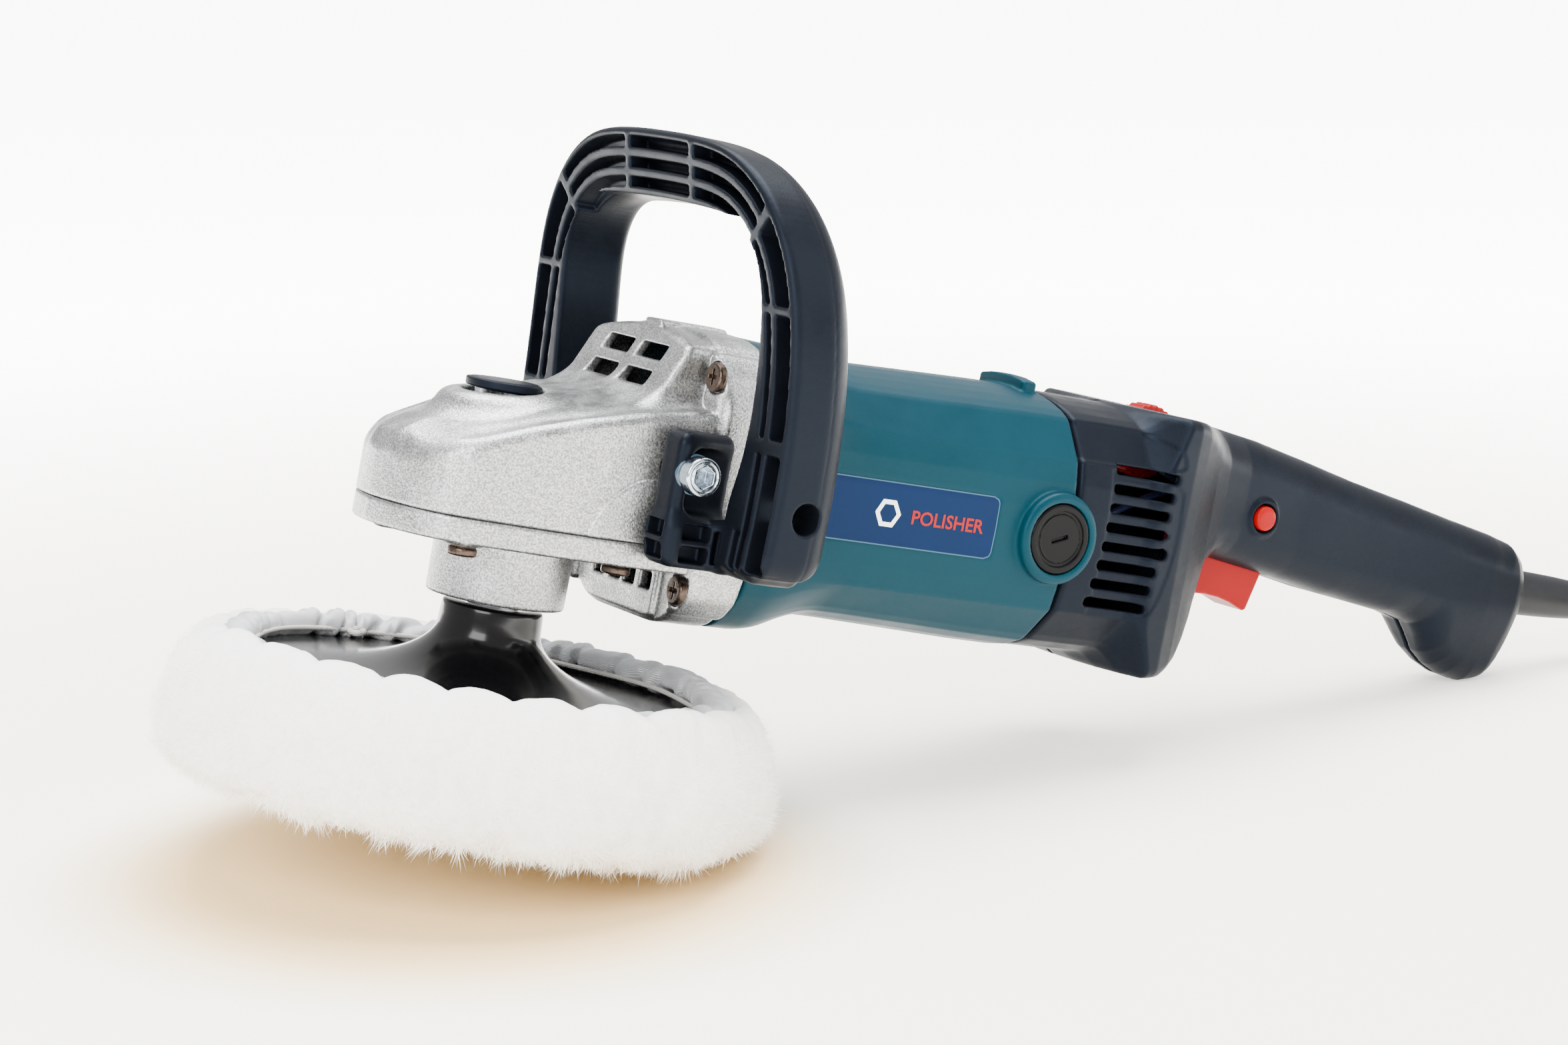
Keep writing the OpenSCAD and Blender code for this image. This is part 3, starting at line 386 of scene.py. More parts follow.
SLOT_MAT = {"cast_case": "cast", "bronze_screw": "bronze", "black_nylon": "nylon", "teal_nylon": "teal", "label_blue": "label_blue", "black_gloss": "gloss_black",
            "red_plastic": "red", "zinc_steel": "zinc", "steel": "steel", "gear_steel": "gear_steel", "core_steel": "core_steel", "copper": "copper", "brass": "brass",
            "carbon": "carbon", "spring_steel": "steel", "rubber_black": "rubber", "cord_jacket": "cord", "circuit": "circuit", "wire_jacket": "wire", "wool": "wool",
            "hem_fabric": "hem", "string": "string", "plug_plastic": "gloss_black", "nickel": "steel"}
for sp in frame["record"]["subparts"]:
    o = frame["nodes"][sp["node"]]
    o.data.materials.clear()
    o.data.materials.append(MATS[SLOT_MAT[sp["material_slot"]]])
frame["nodes"]["loop_handle_spacers"].data.materials[0] = MATS["spacer"]


for _m, _t in (("nylon", (0.55, 0.72, 1.0)), ("nylon_handle", (0.50, 0.68, 1.0)), ("teal", (0.45, 0.85, 1.0)), ("label_blue", (0.45, 0.7, 1.0))):
    MATS[_m].node_tree.nodes["Principled BSDF"].inputs["Specular Tint"].default_value = (*_t, 1)


def done(o, m, body, slot, *nodes):
    o.data.materials.clear()
    o.data.materials.append(MATS[m])
    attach(o, body)
    if nodes:
        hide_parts(*nodes)
    return o


BODY = "tool_body"
PLAN = mirror(chaikin([(-48.9, 0), (-48.2, 9), (-44.2, 20.5), (-35.4, 30.8), (-16, 35.6), (3, 40), (44, 41), (75, 41)], 2, keep=(0, 6, 7)))
FL = [[36.5, 34.0], [36.5, -33.0]]
ARCH = 112.0


def flange_section(Y, Z, grow=0.0):
    d = imax(imax(abs(Y) - 42.5 - grow, abs(Z) - 46.0 - grow, 4.0), np.sqrt(Y * Y + Z * Z) - 51 - grow, 3.0)
    return d


# ---------------------------------------------------------------- gear case
def gear_case():
    v = 0.62
    g = Grid((-54, 0, -50), (65, 46, 51), v)
    X, Y, Z = g.X, g.Y, g.Z
    zc = np.interp(X, [-60, -48.9, -47, -43, -38, -31, -20, -11, 0, 10, 20, 45, 70], [-6, -2.5, 0.6, 3.8, 6.4, 9.3, 13, 15.8, 18.6, 21, 23, 27, 29]).astype(F)
    zr = np.interp(X, [-60, -49, -37, -30, -14, 1.5, 20.6, 40, 70], [-8, -4, 1.6, 4.6, 11.0, 16.0, 20.6, 23.2, 25]).astype(F)
    w = np.interp(X, [-49, -44, -35, 3, 44], [8, 20, 30.6, 40, 41]).astype(F)
    plan = poly(X, Y, PLAN)
    H = zc - (zc - zr) * np.clip((Y - 7) / np.maximum(w - 8, 4), 0, 1.4)
    D = imax(plan, (Z - H) * 0.94, 3.2)
    # soft hollow along the shoulder, just above the ridge
    D = D + 0.5 * np.exp(-(((Y - (w - 6)) / 3.0) ** 2)) * sst((X + 38) / 12) * sst((Z - H + 4) / 3)
    pad = imax((np.sqrt((X + 10) ** 2 + Y * Y) - (23 - (Z - 5) * 0.375)) * 0.936, (Z - (15.9 + (X + 30) * 0.1)) * 0.995, 3.0)
    pad = np.maximum(pad, -(Z - 2))
    D = imin(D, pad, 3.5)
    D = imax(D, -(Z + 19.5), 0.5)
    arch = np.sqrt(Y * Y + (Z - (46.1 - ARCH)) ** 2) - ARCH
    face = poly(X, Z, [(20, 4), (24.4, 22), (28, 28), (34.4, 40.6), (36.6, 44.6), (39, 47.5), (41, 52), (66, 52), (66, 4)])
    dome = imax(imax(Y - 30.2, arch, 2.6), face, 2.2)
    D = imin(D, dome, 6.0)
    fl = imax(flange_section(Y, Z), abs(X - 54.2) - 8.8, 1.6)
    D = imin(D, fl, 2.5)
    for z0, z1 in ((16, 42), (-42, -16)):
        boss = imax(box(X, Y, Z, (42.3, 30.5, z0), (63, 40.8, z1), 2.6), np.sqrt(Y * Y + Z * Z) - 53, 2.0)
        D = imin(D, boss, 1.2)
    low = imax(imax(box(X, Y, Z, (43.2, -21, -50), (50, 21, -18)), flange_section(Y, Z, -1.2), 2.0), -(X - 43.2), 1.0)
    D = imin(D, low, 1.0)
    ledge = box(X, Y, Z, (38, -5.2, 40), (62.9, 5.2, 47.7), 0.9)
    D = imin(D, np.maximum(ledge, -(X - 36 - (Z - 45) * 0.4)), 0.8)
    # raised area round the side bolt, bounded by a curved line
    area = poly(X, Z, chaikin([(26, 0.6), (19.5, -0.4), (11.7, -6.4), (8.2, -12), (5, -21), (50, -21), (50, 0.6)], 2, keep=(4, 5, 6)))
    D = np.minimum(D, imax(imax(imax(plan - 0.75, area, 0.5), Z - 3, 0.5), -(Z + 19.5), 0.4))
    D = imax(D, X - 62.9, 0.6)
    # inside: gear chamber, fan chamber, bearing seats, button pocket
    inner = poly(X, Y, mirror([(-44.6, 0), (-43.6, 8), (-39.8, 18.6), (-32.5, 27), (3, 36), (43.5, 37)]))
    ch = np.maximum(inner, poly(X, Z, [(-46, -21), (-44.4, -2), (-34, 3.8), (-27, 10.2), (14, 10.2), (16, 17), (42, 18), (42, -21)]))
    ch = np.maximum(ch, Z - (H - 3.2))
    fan = np.maximum(flange_section(Y, Z, -4.2), abs(X - 56) - 9)
    air = imax(box(X, Y, Z, (28, -26.5, 21.5), (50, 26.5, 42)), poly(X, Z, [(28.6, 21.5), (31.4, 27), (37.8, 39.8), (39, 42), (60, 42), (60, 21.5)]), 1)
    seat = cyl(Y, Z, X, (0, 0), 19, 40, 57.5)
    fan = np.maximum(np.minimum(fan, air), -seat)
    D = cut(D, ch)
    D = cut(D, fan)
    D = cut(D, cyl(Y, Z, X, (0, 0), 13, 47, 60))
    D = cut(D, cyl(X, Y, Z, (-10, 0), 12.7, 13.7, 40), 0.7)
    D = cut(D, cyl(X, Y, Z, (0, 0), 7.5, 8, 13.4))
    # air outlets in the dome's face, small ones low down
    for z0, z1 in ((35.3, 40.2), (26.9, 31.7)):
        D = cut(D, box(X, Y, Z, (18, 2.3, z0), (44, 18.8, z1), 0.9), 0.7)
    for y in (1.2, 11.4):
        D = cut(D, box(X, Y, Z, (41, y, -36), (50, y + 6.6, -30.6), 0.6), 0.4)
    for y, z in FL:
        D = cut(D, cyl(Y, Z, X, (y, z), 5.2, 38, 44), 0.6)
    D = cut(D, cyl(X, Z, Y, (30.5, 4.7), 4.1, 24, 60))
    o = from_field("case_casting", g, D)
    return done(o, "cast", BODY, "cast_case", "gear_housing")


def bearing_box():
    v = 0.6
    g = Grid((-52, 0, -49), (46, 43, -18), v)
    X, Y, Z = g.X, g.Y, g.Z
    plan = poly(X, Y, PLAN) + 0.1
    pl = imax(imax(plan, X - 43, 1.2), abs(Z + 23.55) - 3.95, 0.9)
    neck = imax(np.sqrt(X * X + Y * Y) - (21.75 + (Z + 46) * 0.012), abs(Z + 37) - 9.8, 0.8)
    D = imin(pl, np.maximum(neck, Z + 24), 1.6)
    for x, y in ((-27.8, 25.7), (25.9, 25.7)):
        D = imin(D, cyl(X, Y, Z, (x, y), 6.0, -28.2, -24, 0.5), 0.8)
    r = np.sqrt(X * X + Y * Y)
    D = cut(D, np.maximum(r - 17.5, -(Z + 37)))
    D = cut(D, np.maximum(r - 13, -(Z + 45)))
    D = cut(D, r - 9.6)
    D = cut(D, box(X, Y, Z, (19.5, -1.2, -48), (24, 1.2, -30), 0.5), 0.3)
    D = cut(D, np.maximum(np.sqrt((X - 33.75) ** 2 + Y * Y) - 8, -(Z + 26.5)))
    o = from_field("nose_plate", g, D)
    return done(o, "cast", BODY, "cast_case", "bearing_box")


def screw_at(name, base, axis, r=4.6, h=2.7, washer=True, socket=False):
    """Screw head standing on base, its top towards axis, a tool direction along one axis."""
    v = 0.22
    g = Grid((-r - 1.5, -r - 1.5, -1.2), (r + 1.5, r + 1.5, h + 2.8), v, sym=False)
    X, Y, Z = g.X, g.Y, g.Z
    R = np.sqrt(X * X + Y * Y)
    z0 = 1.3 if washer else 0.0
    D = imax(R - r, abs(Z - z0 - h / 2) - h / 2, 0.9)
    if washer:
        gap = np.maximum(abs(Y) - 0.35, -X)
        wsh = imax(R - r * 0.93, abs(Z - 0.6) - 0.6, 0.25)
        wsh = np.maximum(wsh, -np.maximum(gap, -(R - 2.5)))
        D = np.minimum(D, wsh)
        D = np.minimum(D, imax(R - r * 0.6, abs(Z - 1) - 1.6, 0.2))
    top = z0 + h
    if socket:
        hexd = np.maximum(np.maximum(abs(X) * 0.866 + abs(Y) * 0.5, abs(Y)) - 3.0, -(Z - (top - 4.2)))
        D = cut(D, hexd, 0.25)
        D = cut(D, np.maximum(abs(R - 4.4) - 0.25, top - 0.3 - Z), 0.1)
    else:
        cross = np.minimum(np.maximum(abs(X) - r * 0.55, abs(Y) - 0.55), np.maximum(abs(Y) - r * 0.55, abs(X) - 0.55))
        D = cut(D, np.maximum(cross, -(Z - (top - 1.5))), 0.3)
    p, q, N = g.surface(D)
    a, b, c = p[q[:, 0]], p[q[:, 1]], p[q[:, 2]]
    if np.einsum("ij,ij->i", np.cross(b - a, c - a), N[q[:, 0]]).sum() < 0:
        q = q[:, ::-1]
    ax = np.array(axis, float)
    up = np.array([1.0, 0, 0]) if abs(ax[0]) < 0.5 else np.array([0, 1.0, 0])
    u = np.cross(up, ax)
    u /= np.linalg.norm(u)
    w = np.cross(ax, u)
    M = np.stack([u, w, ax], 0)
    return set_mesh(name, row(p @ M + np.array(base, float)), np.ascontiguousarray(q), rowdir(N @ M))


def screws():
    obs = [screw_at("s", (x, s * y, -27.5), (0, 0, -1)) for x, y in ((-27.8, 25.7), (25.9, 25.7)) for s in (-1, 1)]
    done(join("plate_screw_heads", obs), "bronze", BODY, "bronze_screw", "bearing_box_screws")
    obs = [screw_at("s", (44, s * y, z), (-1, 0, 0), washer=False, h=3.0) for y, z in FL for s in (-1, 1)]
    done(join("flange_screw_heads", obs), "bronze", BODY, "bronze_screw", "flange_screws")
    obs = [screw_at("s", (30.5, s * 54.4, 4.7), (0, s, 0), r=6.0, h=5.6, washer=False, socket=True) for s in (-1, 1)]
    done(join("handle_bolt_heads", obs), "zinc", BODY, "zinc_steel", "loop_handle_bolts")
    obs = [lathe("s", [(4.1, s * 46.0), (6.2, s * 46.0), (6.3, s * 46.2), (6.3, s * 54.0), (6.0, s * 54.4), (4.1, s * 54.4)], axis="y", at=(30.5, 0, 4.7), n=64) for s in (-1, 1)]
    done(join("bolt_spacers", obs), "spacer", BODY, "black_nylon", "loop_handle_spacers")


# ---------------------------------------------------------------- loop handle
def loop_handle():
    v = 0.66
    g = Grid((22, 0, -27), (70, 90, 109), v)
    X, Y, Z = g.X, g.Y, g.Z
    a = X - (41.2 - 0.0013 * Z * Z) + 0.0 * Y
    a = a.astype(F)
    # outline across: outer and inner edge
    outer = poly(Y, Z, mirror2([(84.8, -24.5), (85.2, 17), (84.6, 37), (83.2, 52), (80.6, 65), (76.5, 75.6), (70.6, 84.8), (63.4, 92.4), (54.6, 98.4), (44.5, 102.6), (33, 104.8), (18, 105.8), (0, 106.0)], 2))
    inner = poly(Y, Z, mirror2([(45.5, -60), (46.5, -27), (49.5, -19), (52.5, -11.5), (55.5, -5), (58, 2), (60.2, 11), (62.2, 23), (63, 40), (62.6, 56), (61.2, 65), (58, 72.5), (52.6, 78.4), (45.5, 82.2), (37, 84.0), (15, 84.8), (0, 85.0)], 2))
    D = imax(imax(outer, -(Z + 24.3), 11.0), a - 25.0, 12.0)
    D = imax(D, -a, 3.2)
    inn = imax(-inner, a - 25.0, 5.0)
    D = np.maximum(D, -inner)
    D = imax(D, np.maximum(imax(-inner, a - 25.0, 6.0), imax(-inner, -a, 1.8)), 0.6)
    # web that joins leg and lug, and the lug itself
    lug = box(X, Y, Z, (24.0, 41.4, -20.0), (48.2, 56.2, 17.4), 4.4)
    lug = imax(lug, (Y + 0.36 * (X - 28.0) - 55.0) * 0.94, 3.5)
    foot = box(X, Y, Z, (24.0, 41.4, -24.0), (47.5, 56.4, -9.2), 3.2)
    web = box(X, Y, Z, (44.5, 42.8, -24.0), (62, 74, -9.5), 3.0)
    D = imin(imin(imin(lug, foot, 4.0), web, 3.0), D, 5.0)
    recess = box(X, Y, Z, (28.8, 46.6, -7.4), (62, 66, 12.6), 4.0)
    D = cut(D, np.maximum(recess, Y - 57.2), 1.6)
    D = np.maximum(D, -cyl(X, Z, Y, (30.5, 4.7), 4.3, 38, 60))
    # pockets in the front face follow the outline
    do = -poly(Y, Z, mirror2([(84.6, -70), (84.8, -24.5), (85.2, 17), (84.6, 37), (83.2, 52), (80.6, 65), (76.5, 75.6), (70.6, 84.8), (63.4, 92.4), (54.6, 98.4), (44.5, 102.6), (33, 104.8), (18, 105.8), (0, 106.0)], 2))

    def band(d, lo, hi):
        return np.maximum(lo - d, d - hi)
    ang = np.degrees(np.arctan2(Z - 62.0, Y - 41.5))
    top = -(Z - 62)
    pk = None

    def add(s, depth=7.5):
        nonlocal pk
        s = imax(s, a - depth, 0.8)
        s = np.maximum(s, -a - 6)
        pk = s if pk is None else np.minimum(pk, s)
    rows = ((2.8, 6.4), (9.4, 12.6), (15.4, 18.6))
    for lo, hi in rows:
        add(imax(band(do, lo, hi), abs(Y) - 18.6, 0.9))
        add(imax(band(do, lo, hi), np.maximum(np.maximum(21.4 - Y, 50.0 - ang), top), 0.9))
    wide, narrow = (3.0, 10.9), (13.7, 16.5)
    for lo, hi in (wide, narrow):
        add(imax(band(do, lo, hi), np.maximum(np.maximum((ang - 43.0) * 0.5, 59.5 - Z), 50 - Y), 0.9))
        add(imax(band(do, lo, hi), np.maximum(abs(Z - 38.3) - 18.4, 50 - Y), 0.9))
        add(imax(band(do, lo, hi), np.maximum(abs(Z + 2.6) - 17.8, 50 - Y), 0.9))
    add(np.maximum(box(X * 0 + 50, Y, Z, (40, 64.0, -21.5), (60, 67.4, -9.0), 0.8), 0 * X))
    D = cut(D, pk, 0.7)
    # small pockets: one column in the front of the foot, one in its outer face
    for j in (0, 1):
        z0 = -21.9 + 6.7 * j
        D = cut(D, box(X, Y, Z, (20, 43.4, z0), (28.0, 53.4, z0 + 4.9), 0.8), 0.6)
        D = cut(D, box(X, Y, Z, (28.9, 51.0, z0), (38.6, 62, z0 + 4.9), 0.8), 0.6)
    tt = ((X - 39.7) + (Y - 57.9)) * 0.7071
    nn = (-(X - 39.7) + (Y - 57.9)) * 0.7071
    D = cut(D, np.maximum(np.maximum(abs(tt) - 0.9, abs(Z + 16.4) - 5.2), abs(nn) - 5.0), 0.5)
    D = cut(D, cyl(X, Z, Y, (53, -1.5), 4.8, 55, 95), 0.6)
    D = np.maximum(D, np.minimum(41.4 + 1.2 * sst((X - 41) / 2) - Y, np.minimum(30 - Z, 70 - X)))
    # parting line down the middle of the outer edge
    D = D + 0.2 * np.exp(-((a - 15.5) / 0.4) ** 2) * sst((6 - do) / 3)
    o = from_field("loop_moulding", g, D)
    return done(o, "nylon", BODY, "black_nylon", "loop_handle")


def mirror2(pts, k=0):
    """Closes a half outline given from y > 0 down to y = 0, and rounds it k times; the two lowest points stay sharp."""
    out = list(pts) + [(-y, z) for y, z in reversed(pts) if y > 1e-6]
    return chaikin(out, k, keep=(0, len(out) - 1)) if k else out


# ---------------------------------------------------------------- motor housing
JX = 184.0
SEC = [(0, 45.4), (7, 45.1), (14, 44.0), (20, 42.6), (26, 40.6), (29.6, 38.7), (31.0, 37.4), (39.9, 25.5), (41.6, 18), (42.6, 9), (42.9, 0), (42.6, -9), (41.6, -17), (40.0, -24.4), (30.6, -34.2), (27.6, -36.6), (20, -39.4), (10, -41.2), (0, -41.8)]


def body_section(X, Y, Z):
    k = np.where(Z > 0, 1 + (X - 170) * 0.0007, 1 + np.minimum(X - 172, 0) * 0.0005).astype(F)
    d = poly(Y[0, :, 0][None, :, None], Z[0, 0, :][None, None, :], [(y, z) for y, z in SEC] + [(-y, z) for y, z in reversed(SEC[1:-1])])
    # k, a scale factor along the length, is returned with the section, not applied to it
    return d, k


def sec_sdf(Y, Z):
    return poly(Y, Z, [(y, z) for y, z in SEC] + [(-y, z) for y, z in reversed(SEC[1:-1])])


def motor():
    v = 0.72
    g = Grid((62, 0, -47), (194, 49, 51), v)
    X, Y, Z = g.X, g.Y, g.Z
    base = sec_sdf(Y, Z)
    taper = np.interp(X, [62, 112, 165, 184], [2.2, 1.7, 0.0, -0.2]).astype(F) * sst((abs(Z) - 20) / 20)
    body = imax(base + taper, abs(X - (63.1 + JX) / 2) - (JX - 63.1) / 2 + 0.15, 0.8)
    fl = flange_section(Y, Z, -0.2)
    t = sst((X - 72) / 30)
    D = imax(fl * (1 - t) + (base + taper) * t, abs(X - (63.1 + JX) / 2) - (JX - 63.1) / 2 + 0.15, 0.9)
    # label recess: nothing is added here; the label's seat is set further down
    D = D + 0.0
    ring = cyl(X, Z, Y, (177.6, 0), 15.3, 30, 46.4, 1.8)
    D = imin(D, ring, 1.2)
    bar = box(X, Y, Z, (175.4, -13, 38), (181.2, 13, 49.2 - 0.0), 1.0)
    bar = np.maximum(bar, np.sqrt(Y * Y + (Z + 11) ** 2) - 60.2)
    D = imin(D, bar, 0.8)
    # inside
    ins = np.minimum(np.minimum(cyl(Y, Z, X, (0, 0), 40.3, 60, 91), cyl(Y, Z, X, (0, 0), 39.4, 90, 149)), cyl(Y, Z, X, (0, 0), 36.5, 148, 200))
    ins = np.maximum(ins, -(cyl(X, Z, Y, (177.6, 0), 12.6, 20, 60)))
    D = cut(D, ins)
    D = cut(D, cyl(X, Z, Y, (177.6, 0), 11.9, 38, 60), 0.5)
    D = cut(D, cyl(X, Z, Y, (177.6, 0), 9.0, 10, 60), 0.3)
    # flat seat of the label, 0.3 mm deep
    lab = box(X, Y * 0 + 50, Z, (81.4, 40, -10.6), (154.1, 60, 11.2), 2.0)
    D = D + 0.3 * sst(-lab / 0.5) * (Y > 30)
    o = from_field("motor_shell", g, D)
    return done(o, "teal", BODY, "teal_nylon", "motor_housing")


def labels():
    def side_y(x, z, lift):
        # nearest side surface of the section at height z
        ys = [p[0] for p in SEC if abs(p[1]) <= 26]
        zs = [p[1] for p in SEC if abs(p[1]) <= 26]
        o = np.argsort(zs)
        return float(np.interp(z, np.array(zs)[o], np.array(ys)[o])) + lift

    def patch(name, outline, lift, s, m):
        """Fills an outline on the curved side with a fine grid cut to it."""
        xs = [p[0] for p in outline]
        zs = [p[1] for p in outline]
        import bmesh
        bm = bmesh.new()
        cols = 28
        # rows of constant height, each clipped to the outline
        zz = np.linspace(min(zs) + 1e-3, max(zs) - 1e-3, cols)
        rows = []
        for z in zz:
            cr = []
            m_ = len(outline)
            for i in range(m_):
                (x0, z0), (x1, z1) = outline[i], outline[(i + 1) % m_]
                if (z0 - z) * (z1 - z) < 0:
                    cr.append(x0 + (x1 - x0) * (z - z0) / (z1 - z0))
            cr.sort()
            if len(cr) >= 2:
                rows.append((z, cr[0], cr[-1]))
        P, Fc = [], []
        nx = 6
        for z, a_, b_ in rows:
            for k in range(nx):
                x = a_ + (b_ - a_) * k / (nx - 1)
                P.append((x, s * side_y(x, z, lift), z))
        for i in range(len(rows) - 1):
            for k in range(nx - 1):
                f = (i * nx + k, i * nx + k + 1, (i + 1) * nx + k + 1, (i + 1) * nx + k)
                Fc.append(f if s < 0 else f[::-1])
        bm.free()
        o = set_mesh(name, row(np.array(P)), np.array(Fc))
        o.data.materials.append(MATS[m])
        return o

    def rrect(x0, z0, x1, z1, r, n=6):
        out = []
        for cx, cz, a0 in ((x1 - r, z1 - r, 0), (x0 + r, z1 - r, 90), (x0 + r, z0 + r, 180), (x1 - r, z0 + r, 270)):
            for k in range(n + 1):
                t = math.radians(a0 + 90 * k / n)
                out.append((cx + r * math.cos(t), cz + r * math.sin(t)))
        return out
    all_ = []
    for s in (-1, 1):
        all_.append(patch("l", rrect(82.2, -10.1, 153.5, 10.6, 2.6), 0.02, s, "label_rim"))
        all_.append(patch("l", rrect(82.6, -9.7, 153.1, 10.2, 2.3), 0.07, s, "label_blue"))
        # plain hexagon mark and a generic word
        hx = lambda r: [(110.5 + r * math.cos(math.radians(60 * k)), 0.4 + r * math.sin(math.radians(60 * k))) for k in range(6)]
        all_.append(patch("l", hx(5.0), 0.12, s, "label_white"))
        all_.append(patch("l", hx(3.3), 0.17, s, "label_blue"))
        cu = bpy.data.curves.new("word", "FONT")
        cu.body = "POLISHER"
        cu.size = 6.2
        cu.align_x = "LEFT"
        cu.extrude = 0
        cu.offset = 0.12
        cu.resolution_u = 3
        to = bpy.data.objects.new("word", cu)
        bpy.context.scene.collection.objects.link(to)
        dg = bpy.context.evaluated_depsgraph_get()
        me = bpy.data.meshes.new_from_object(to.evaluated_get(dg))
        bpy.data.objects.remove(to)
        co = np.array([v.co[:] for v in me.vertices])
        co[:, 0] *= 28.5 / (co[:, 0].max() - co[:, 0].min())
        if s < 0:
            x = 119.5 + co[:, 0]
        else:
            x = 119.5 + co[:, 0].max() - co[:, 0]
        z = -1.9 + co[:, 1]
        P = np.stack([x, np.array([s * side_y(a_, b_, 0.24) for a_, b_ in zip(x, z)]), z], 1)
        fs = [list(p.vertices) for p in me.polygons]
        bpy.data.meshes.remove(me)
        o = set_mesh("l", row(P), fs)
        o.data.materials.append(MATS["label_red"])
        all_.append(o)
    j = join("side_label_sheets", all_)
    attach(j, BODY)
    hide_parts("side_labels")
    return j


def caps():
    obs = []
    for s in (-1, 1):
        v = 0.28
        g = Grid((-12.6, -12.6, -6), (12.6, 12.6, 2.6), v, sym=False)
        X, Y, Z = g.X, g.Y, g.Z
        R = np.sqrt(X * X + Y * Y)
        D = imax(R - 11.7, abs(Z + 2.2) - 3.0, 0.9)
        D = cut(D, np.maximum(abs(R - 8.7) - 0.55, -(Z - 0.1)), 0.25)
        D = cut(D, np.maximum(R - 7.9, -(Z - 0.35 - R * 0.0)), 0.3)
        D = cut(D, np.maximum(np.maximum(abs(X * 0.94 + Y * 0.34) - 3.3, abs(-X * 0.34 + Y * 0.94) - 0.65), -(Z + 1.0)), 0.15)
        p, q, N = g.surface(D)
        a, b, c = p[q[:, 0]], p[q[:, 1]], p[q[:, 2]]
        if np.einsum("ij,ij->i", np.cross(b - a, c - a), N[q[:, 0]]).sum() < 0:
            q = q[:, ::-1]
        M = np.array([[1, 0, 0], [0, 0, 1], [0, -1, 0]], float) if s < 0 else np.array([[-1, 0, 0], [0, 0, 1], [0, 1, 0]], float)
        obs.append(set_mesh("c", row(p @ M + np.array([177.6, s * 45.4, 0])), np.ascontiguousarray(q), rowdir(N @ M)))
    done(join("brush_cap_pair", obs), "gloss_black", BODY, "black_gloss", "brush_caps")


# ---------------------------------------------------------------- rear handle
H_SIDE = [(JX, 45.6), (205, 45.7), (231, 45.4), (247, 44.3), (262, 42.9), (281, 40.8), (306, 36.6), (331, 32), (358, 27.9), (384, 23.6), (404, 20.6), (413.5, 18.4), (420, 14.5), (424.6, 8.5), (426.2, 0), (425.2, -10), (421.8, -27), (418.4, -31.4), (415, -33.6), (406, -35.6), (396, -33.8), (388.5, -30.8), (382, -26.4), (377.4, -20.6), (373.2, -16.0), (366, -14.2), (350, -12.4), (325, -9.8), (300, -6), (280, -3.4), (266, -1.6), (261.4, -5.5), (259.4, -14), (256.6, -24), (252, -32.5), (245, -39), (234.5, -42.8), (222, -43.8), (JX, -43.6)]
H_PLAN = [(JX, 0), (JX, 44), (222, 44), (231, 42.6), (238, 39.2), (245, 34.6), (252, 29.6), (260, 25.6), (272, 22.8), (300, 21.0), (350, 19.0), (400, 17.8), (414, 17), (421, 14.5), (425.4, 9), (426.4, 0)]


